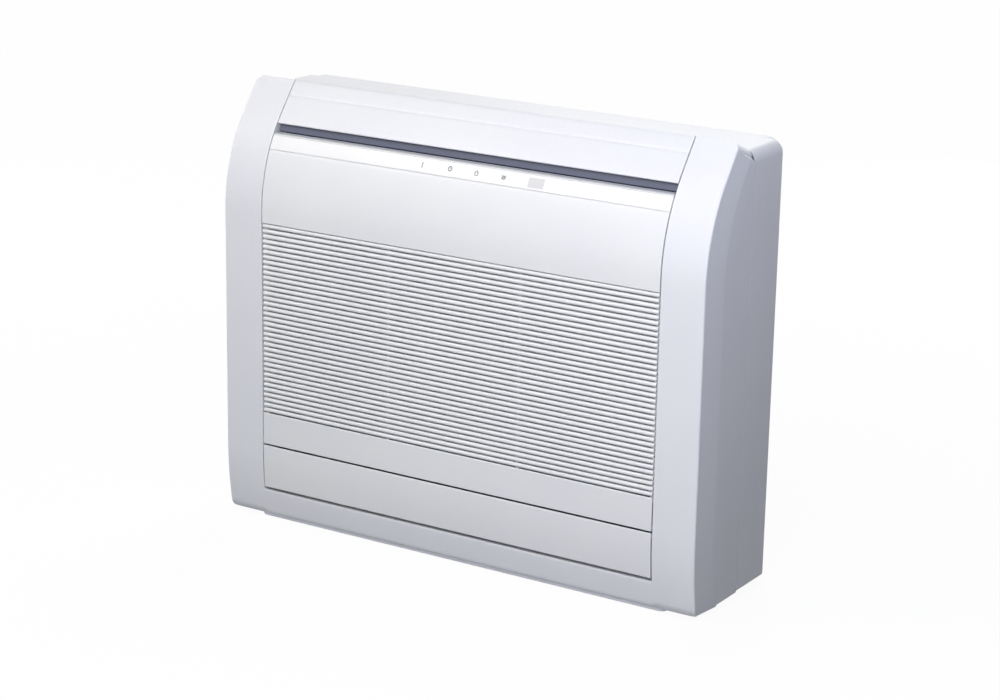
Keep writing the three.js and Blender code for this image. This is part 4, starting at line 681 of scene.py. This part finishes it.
tree, gin, gout = group("tone_drift", [("Vector", V, (0, 0, 0)), ("Light", C, (1, 1, 1, 1)),
                                       ("Dark", C, (0.9, 0.9, 0.9, 1)), ("Scale", F, 5.0)],
                        [("Color", C)])
slow = node(tree, "ShaderNodeTexNoise",
            {"Vector": gin.outputs["Vector"], "Scale": gin.outputs["Scale"]},
            Detail=4.0, Roughness=0.5)
ramp = node(tree, "ShaderNodeMapRange", {"Value": slow.outputs["Fac"]})
ramp.inputs["From Min"].default_value, ramp.inputs["From Max"].default_value = 0.35, 0.7
mix = node(tree, "ShaderNodeMix", {"Factor": ramp.outputs["Result"]}, data_type="RGBA")
tree.links.new(gin.outputs["Light"], mix.inputs["A"])
tree.links.new(gin.outputs["Dark"], mix.inputs["B"])
tree.links.new(mix.outputs["Result"], gout.inputs["Color"])
DRIFT = tree

tree, gin, gout = group("settled_dust", [("Vector", V, (0, 0, 0)), ("Normal", V, (0, 0, 1)),
                                         ("Amount", F, 0.3)], [("Mask", F)])
split = node(tree, "ShaderNodeSeparateXYZ", {0: gin.outputs["Normal"]})
upward = node(tree, "ShaderNodeMapRange", {"Value": split.outputs["Z"]})
upward.inputs["From Min"].default_value, upward.inputs["From Max"].default_value = 0.25, 1.0
specks = node(tree, "ShaderNodeTexNoise", {"Vector": gin.outputs["Vector"]}, Scale=260.0,
              Detail=5.0)
thin = node(tree, "ShaderNodeMapRange", {"Value": specks.outputs["Fac"]})
thin.inputs["From Min"].default_value, thin.inputs["From Max"].default_value = 0.42, 0.66
both_masks = node(tree, "ShaderNodeMath", {0: upward.outputs["Result"], 1: thin.outputs["Result"]},
                  operation="MULTIPLY")
scaled = node(tree, "ShaderNodeMath", {0: both_masks.outputs[0], 1: gin.outputs["Amount"]},
              operation="MULTIPLY")
tree.links.new(scaled.outputs[0], gout.inputs["Mask"])
DUST = tree
print("effect groups:", [g.name for g in (GRAIN, DRIFT, DUST)])

# %% [markdown]
# ## The finishes
#
# A finish is a Principled shader fed by those groups. Finishes differ in tone, gloss and
# how coarse their grain is. One function covers the mouldings and the plain metals, and
# the fins, the filter cloth and the circuit board get patterns of their own. The flap's
# skirt gets painted shade, darker towards the flap's edge, and the slot's lip gets a bluish
# grey that paints the shade on white plastic.

# %% Mouldings
def srgb(text):
    """Screen colour to light values: ((c + 0.055) / 1.055) to the power 2.4."""
    c = np.array([int(text[i:i + 2], 16) for i in (0, 2, 4)]) / 255
    c = np.where(c <= 0.04045, c / 12.92, ((c + 0.055) / 1.055) ** 2.4)
    return (*c.tolist(), 1.0)


def start(name):
    """A new finish: its shader node and the place in the piece's own coordinates."""
    mat = bpy.data.materials.new(name)
    mat.use_nodes = True
    tree = mat.node_tree
    shader = tree.nodes["Principled BSDF"]
    coords = tree.nodes.new("ShaderNodeTexCoord")
    return mat, tree, shader, coords.outputs["Object"]


def use(tree, which, **values):
    """Adds an effect group and feeds its inputs by name, with a link or a value."""
    g = tree.nodes.new("ShaderNodeGroup")
    g.node_tree = which
    for key, value in values.items():
        if hasattr(value, "links"):
            tree.links.new(value, g.inputs[key])
        else:
            g.inputs[key].default_value = value
    return g


def bumped(tree, shader, height, distance):
    """Bends the shading by a height pattern that stands distance metres proud."""
    b = node(tree, "ShaderNodeBump", {"Height": height}, Strength=1.0, Distance=distance)
    tree.links.new(b.outputs["Normal"], shader.inputs["Normal"])


def moulded(name, light, dark, roughness, grain=900.0, depth=0.00004, dust=0.25, spread=0.08,
            coat=0.0, metallic=0.0, drift=5.0, dust_tone="8b8780"):
    """Tone drifts between light and dark, dust lies on upward faces, grain is a bump."""
    mat, tree, shader, place = start(name)
    tone = use(tree, DRIFT, Vector=place, Light=srgb(light), Dark=srgb(dark), Scale=drift)
    g = use(tree, GRAIN, Vector=place, Scale=grain, Roughness=roughness, Spread=spread)
    geometry = tree.nodes.new("ShaderNodeNewGeometry")
    mask = use(tree, DUST, Vector=place, Normal=geometry.outputs["Normal"], Amount=dust)
    mix = node(tree, "ShaderNodeMix", {"Factor": mask.outputs["Mask"]}, data_type="RGBA")
    tree.links.new(tone.outputs["Color"], mix.inputs["A"])
    mix.inputs["B"].default_value = srgb(dust_tone)
    tree.links.new(mix.outputs["Result"], shader.inputs["Base Color"])
    tree.links.new(g.outputs["Roughness"], shader.inputs["Roughness"])
    shader.inputs["Coat Weight"].default_value = coat
    shader.inputs["Coat Roughness"].default_value = 0.08
    shader.inputs["Metallic"].default_value = metallic
    bumped(tree, shader, g.outputs["Height"], depth)
    return mat


M = {
    "casing_white": moulded("casing_white", "eaebee", "e6e7eb", 0.42, dust=0.05),
    "panel_white": moulded("panel_white", "eceded", "e8e9eb", 0.40, dust=0.04),
    "gloss_white": moulded("gloss_white", "f3f3f3", "f0f0f1", 0.36, depth=0.000005, dust=0.0,
                           coat=0.1, spread=0.03),
    "window_grey": moulded("window_grey", "d2d2d3", "cfcfd0", 0.36, depth=0.000005, dust=0.0,
                           coat=0.1, spread=0.03),
    "grey_plastic": moulded("grey_plastic", "6f7286", "666a7c", 0.55, dust=0.35),
    "slate_plastic": moulded("slate_plastic", "3f4350", "383c48", 0.58, dust=0.3),
    "rubber": moulded("rubber", "26282d", "1f2125", 0.85, grain=500.0, depth=0.00008, dust=0.4),
    "steel": moulded("steel", "b4b8bf", "a8acb4", 0.34, grain=1400.0, metallic=0.9, dust=0.2,
                     drift=14.0),
    "brass": moulded("brass", "c2a35a", "b08f4a", 0.3, grain=700.0, metallic=1.0, dust=0.1,
                     drift=60.0),
    "copper": moulded("copper", "b87349", "a5603a", 0.3, grain=600.0, metallic=1.0, dust=0.1,
                      drift=40.0),
}
print("mouldings:", len(M))

# %% Patterned finishes
def striped(name, light, dark, axis, pitch, roughness, metallic, depth):
    """Fins or brush lines: a sine along one axis, 1000 / pitch lines to the metre."""
    mat, tree, shader, place = start(name)
    split = node(tree, "ShaderNodeSeparateXYZ", {0: place})
    turns = node(tree, "ShaderNodeMath", {0: split.outputs[axis]}, operation="MULTIPLY")
    turns.inputs[1].default_value = 2 * np.pi * 1000 / pitch
    wave = node(tree, "ShaderNodeMath", {0: turns.outputs[0]}, operation="SINE")
    lines = node(tree, "ShaderNodeMapRange", {"Value": wave.outputs[0]})
    lines.inputs["From Min"].default_value = -1.0
    uneven = node(tree, "ShaderNodeTexNoise", {"Vector": place}, Scale=35.0, Detail=4.0)
    shade = node(tree, "ShaderNodeMath", {0: lines.outputs["Result"], 1: uneven.outputs["Fac"]},
                 operation="MULTIPLY")
    mix = node(tree, "ShaderNodeMix", {"Factor": shade.outputs[0]}, data_type="RGBA")
    mix.inputs["A"].default_value, mix.inputs["B"].default_value = srgb(dark), srgb(light)
    tree.links.new(mix.outputs["Result"], shader.inputs["Base Color"])
    g = use(tree, GRAIN, Vector=place, Scale=700.0, Roughness=roughness, Spread=0.1)
    tree.links.new(g.outputs["Roughness"], shader.inputs["Roughness"])
    shader.inputs["Metallic"].default_value = metallic
    bumped(tree, shader, lines.outputs["Result"], depth)
    return mat


def woven(name, light, dark, pitch):
    """Filter cloth: threads along x and z, the larger of the two sines at each point."""
    mat, tree, shader, place = start(name)
    split = node(tree, "ShaderNodeSeparateXYZ", {0: place})
    threads = []
    for axis in ("X", "Z"):
        turns = node(tree, "ShaderNodeMath", {0: split.outputs[axis]}, operation="MULTIPLY")
        turns.inputs[1].default_value = 2 * np.pi * 1000 / pitch
        threads.append(node(tree, "ShaderNodeMath", {0: turns.outputs[0]}, operation="SINE"))
    high = node(tree, "ShaderNodeMath", {0: threads[0].outputs[0], 1: threads[1].outputs[0]},
                operation="MAXIMUM")
    lines = node(tree, "ShaderNodeMapRange", {"Value": high.outputs[0]})
    lines.inputs["From Min"].default_value = -0.4
    mix = node(tree, "ShaderNodeMix", {"Factor": lines.outputs["Result"]}, data_type="RGBA")
    mix.inputs["A"].default_value, mix.inputs["B"].default_value = srgb(dark), srgb(light)
    geometry = tree.nodes.new("ShaderNodeNewGeometry")
    mask = use(tree, DUST, Vector=place, Normal=geometry.outputs["Normal"], Amount=0.5)
    top = node(tree, "ShaderNodeMix", {"Factor": mask.outputs["Mask"]}, data_type="RGBA")
    tree.links.new(mix.outputs["Result"], top.inputs["A"])
    top.inputs["B"].default_value = srgb("8b8780")
    tree.links.new(top.outputs["Result"], shader.inputs["Base Color"])
    g = use(tree, GRAIN, Vector=place, Scale=500.0, Roughness=0.75, Spread=0.1)
    tree.links.new(g.outputs["Roughness"], shader.inputs["Roughness"])
    bumped(tree, shader, lines.outputs["Result"], 0.0002)
    return mat


def board(name):
    """Green lacquer with paler copper tracks: a brick pattern read as thin lines."""
    mat, tree, shader, place = start(name)
    turned = node(tree, "ShaderNodeMapping", {"Vector": place}, Rotation=(np.pi / 2, 0, np.pi / 2))
    tracks = node(tree, "ShaderNodeTexBrick", {"Vector": turned.outputs["Vector"]}, Scale=60.0)
    tracks.inputs["Color1"].default_value = srgb("2f6b4f")
    tracks.inputs["Color2"].default_value = srgb("2a6148")
    tracks.inputs["Mortar"].default_value = srgb("5f8d5d")
    tracks.inputs["Mortar Size"].default_value = 0.03
    tree.links.new(tracks.outputs["Color"], shader.inputs["Base Color"])
    g = use(tree, GRAIN, Vector=place, Scale=300.0, Roughness=0.35, Spread=0.12)
    tree.links.new(g.outputs["Roughness"], shader.inputs["Roughness"])
    bumped(tree, shader, tracks.outputs["Fac"], 0.00003)
    return mat


def painted_shade_ramp(name, low, high, z0, z1):
    """Painted shade: a moulding coloured from low at height z0 to high at height z1, darker
    towards the flap's edge, where the skirt lies in the flap's shadow."""
    mat = moulded(name, low, low, 0.5, dust=0.0)
    tree, shader = mat.node_tree, mat.node_tree.nodes["Principled BSDF"]
    place = tree.nodes.new("ShaderNodeTexCoord")
    split = node(tree, "ShaderNodeSeparateXYZ", {0: place.outputs["Object"]})
    rise = node(tree, "ShaderNodeMapRange", {"Value": split.outputs["Z"]})
    rise.inputs["From Min"].default_value, rise.inputs["From Max"].default_value = z0, z1
    mix = node(tree, "ShaderNodeMix", {"Factor": rise.outputs["Result"]}, data_type="RGBA")
    mix.inputs["A"].default_value, mix.inputs["B"].default_value = srgb(low), srgb(high)
    tree.links.new(mix.outputs["Result"], shader.inputs["Base Color"])
    return mat


M["aluminium"] = striped("aluminium", "c9ccd2", "5d6066", "X", 1.6, 0.4, 0.85, 0.0004)
M["filter_grey"] = woven("filter_grey", "a9b1c0", "747c8c", 1.3)
M["board_green"] = board("board_green")
# painted shade: the skirt darkens towards the flap's edge, where its shadow falls
M["skirt_painted_shade"] = painted_shade_ramp("skirt_painted_shade", "565a6c", "2c2f38", 0.5425, 0.548)
# painted shade: bluish grey for the slot's lip, as white plastic in shade
M["lip_painted_shade"] = moulded("lip_painted_shade", "c3c6d2", "bdc0cd", 0.4, dust=0.1)
M["sign_print"] = moulded("sign_print", "3f4452", "383d4a", 0.5, dust=0.0, drift=90.0)
print("finishes:", sorted(M))

# %% [markdown]
# ## Dressing every piece
#
# The imported record names one finish for each solid. The works inside keep their solids and
# take the finish of that name, and the new shells take the finish of the slot they
# declare. The signs then get their print, and the flap's skirt and the slot's lip get
# painted shade in place of the slate finish.

# %% Give finishes out
new_shells = [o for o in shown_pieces() if o.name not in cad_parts]
for o in new_shells:
    o.data.materials.clear()
    o.data.materials.append(M[o["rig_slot"]])
printed.data.materials[0] = M["sign_print"]
# painted shade on the flap's skirt
flap_skirt.data.materials[0] = M["skirt_painted_shade"]
# painted shade on the slot's lip
slot_lip.data.materials[0] = M["lip_painted_shade"]

count = 0
for name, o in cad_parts.items():
    for s in o.material_slots:
        key = s.material.name.split(".")[0] if s.material else ""
        if key not in M:
            print("no finish for", name, key)
            key = "grey_plastic"
        s.material = M[key]
        count += 1
print("finished", len(new_shells), "shells and", count, "slots on the solids")

# %% [markdown]
# ## Floor, light and background
#
# The picture has a white ground and light that comes from above and in front, so the face
# is bright at the top, softer towards the floor, and the right side lies in shade. Light
# from several lamps adds up, so six of them were first solved for together, by least
# squares against tones seen in the picture, and then trimmed. Two more light the
# back and the left side, which the picture does not show. The floor reads white to the
# camera yet keeps a trace of the shadow.

# %% Stage
scene = bpy.context.scene
scene.view_settings.view_transform = "Standard"

floor_mesh = bpy.data.meshes.new("studio_floor")
FAR = 12
floor_mesh.from_pydata([(-FAR, -FAR, 0), (FAR, -FAR, 0), (FAR, FAR, 0), (-FAR, FAR, 0)], [],
                       [(0, 1, 2, 3)])
floor = bpy.data.objects.new("studio_floor", floor_mesh)
bpy.context.collection.objects.link(floor)
ground = bpy.data.materials.new("studio_white")
ground.use_nodes = True
tree = ground.node_tree
tree.nodes.clear()
out = tree.nodes.new("ShaderNodeOutputMaterial")
glow = node(tree, "ShaderNodeEmission")
path = tree.nodes.new("ShaderNodeLightPath")
bounce = node(tree, "ShaderNodeMix", {"Factor": path.outputs["Is Camera Ray"]}, data_type="RGBA")
bounce.inputs["A"].default_value = (0.08, 0.08, 0.085, 1)
bounce.inputs["B"].default_value = (1.0, 1.0, 1.0, 1)
matt = node(tree, "ShaderNodeBsdfDiffuse", {"Color": bounce.outputs["Result"]})
seen = node(tree, "ShaderNodeMath",
            {0: path.outputs["Is Camera Ray"], 1: path.outputs["Is Glossy Ray"]},
            operation="MAXIMUM")
seen_through = node(tree, "ShaderNodeMath",
                    {0: seen.outputs[0], 1: path.outputs["Is Transmission Ray"]},
                    operation="MAXIMUM")
place = tree.nodes.new("ShaderNodeTexCoord")
away = node(tree, "ShaderNodeVectorMath", {0: place.outputs["Object"]}, operation="LENGTH")
even = node(tree, "ShaderNodeMapRange", {"Value": away.outputs["Value"]})
for key, value in (("From Min", 0.45), ("From Max", 1.6), ("To Min", 0.94), ("To Max", 0.99)):
    even.inputs[key].default_value = value
share = node(tree, "ShaderNodeMath", {0: seen_through.outputs[0], 1: even.outputs["Result"]},
             operation="MULTIPLY")
mixed = node(tree, "ShaderNodeMixShader",
             {0: share.outputs[0], 1: matt.outputs[0], 2: glow.outputs[0]})
tree.links.new(mixed.outputs[0], out.inputs["Surface"])
floor_mesh.materials.append(ground)

world = bpy.data.worlds.new("studio")
scene.world = world
world.use_nodes = True
tree = world.node_tree
tree.nodes.clear()
out = tree.nodes.new("ShaderNodeOutputWorld")
dim = node(tree, "ShaderNodeBackground", Strength=0.11)
dim.inputs["Color"].default_value = (0.80, 0.88, 1.0, 1)
white = node(tree, "ShaderNodeBackground", Strength=1.0)
white.inputs["Color"].default_value = (1.0, 1.0, 1.0, 1)
path = tree.nodes.new("ShaderNodeLightPath")
seen = node(tree, "ShaderNodeMath",
            {0: path.outputs["Is Camera Ray"], 1: path.outputs["Is Glossy Ray"]},
            operation="MAXIMUM")
mixed = node(tree, "ShaderNodeMixShader",
             {0: seen.outputs[0], 1: dim.outputs[0], 2: white.outputs[0]})
tree.links.new(mixed.outputs[0], out.inputs["Surface"])


def soft_box(name, place, target, size, watts, tint=(1, 1, 1)):
    """A square area lamp that faces a point."""
    lamp = bpy.data.lights.new(name, "AREA")
    lamp.energy, lamp.size, lamp.color = watts, size, tint
    lamp.shape = "SQUARE"
    o = bpy.data.objects.new(name, lamp)
    bpy.context.collection.objects.link(o)
    o.location = place
    o.rotation_euler = (Vector(target) - Vector(place)).to_track_quat("-Z", "Y").to_euler()


AIM = (0.05, -0.05, 0.35)
for lamp in (
    ("key", (0.55, -1.2, 1.25), AIM, 0.6, 4.2, (1.0, 0.95, 0.78)),
    ("left", (-0.8, -1.0, 1.6), AIM, 0.8, 10.8, (1.0, 0.95, 0.91)),
    ("right_low", (0.8, -1.3, 0.6), AIM, 0.5, 4.3, (0.94, 0.86, 1.0)),
    ("right_graze", (1.0, -0.4, 1.1), AIM, 0.5, 3.3, (0.70, 0.77, 1.0)),
    ("front_fill", (0.2, -2.6, 0.9), AIM, 1.2, 22.5, (0.85, 0.93, 1.0)),
    ("roof_light", (-0.4, 1.3, 1.7), AIM, 0.9, 14),
    ("back_fill", (0.3, 2.5, 0.7), (0.0, 0.1, 0.3), 1.6, 16),
    ("side_fill", (-2.3, 0.5, 0.8), (-0.3, 0.0, 0.3), 1.6, 13),
):
    soft_box(*lamp)
print("stage set")
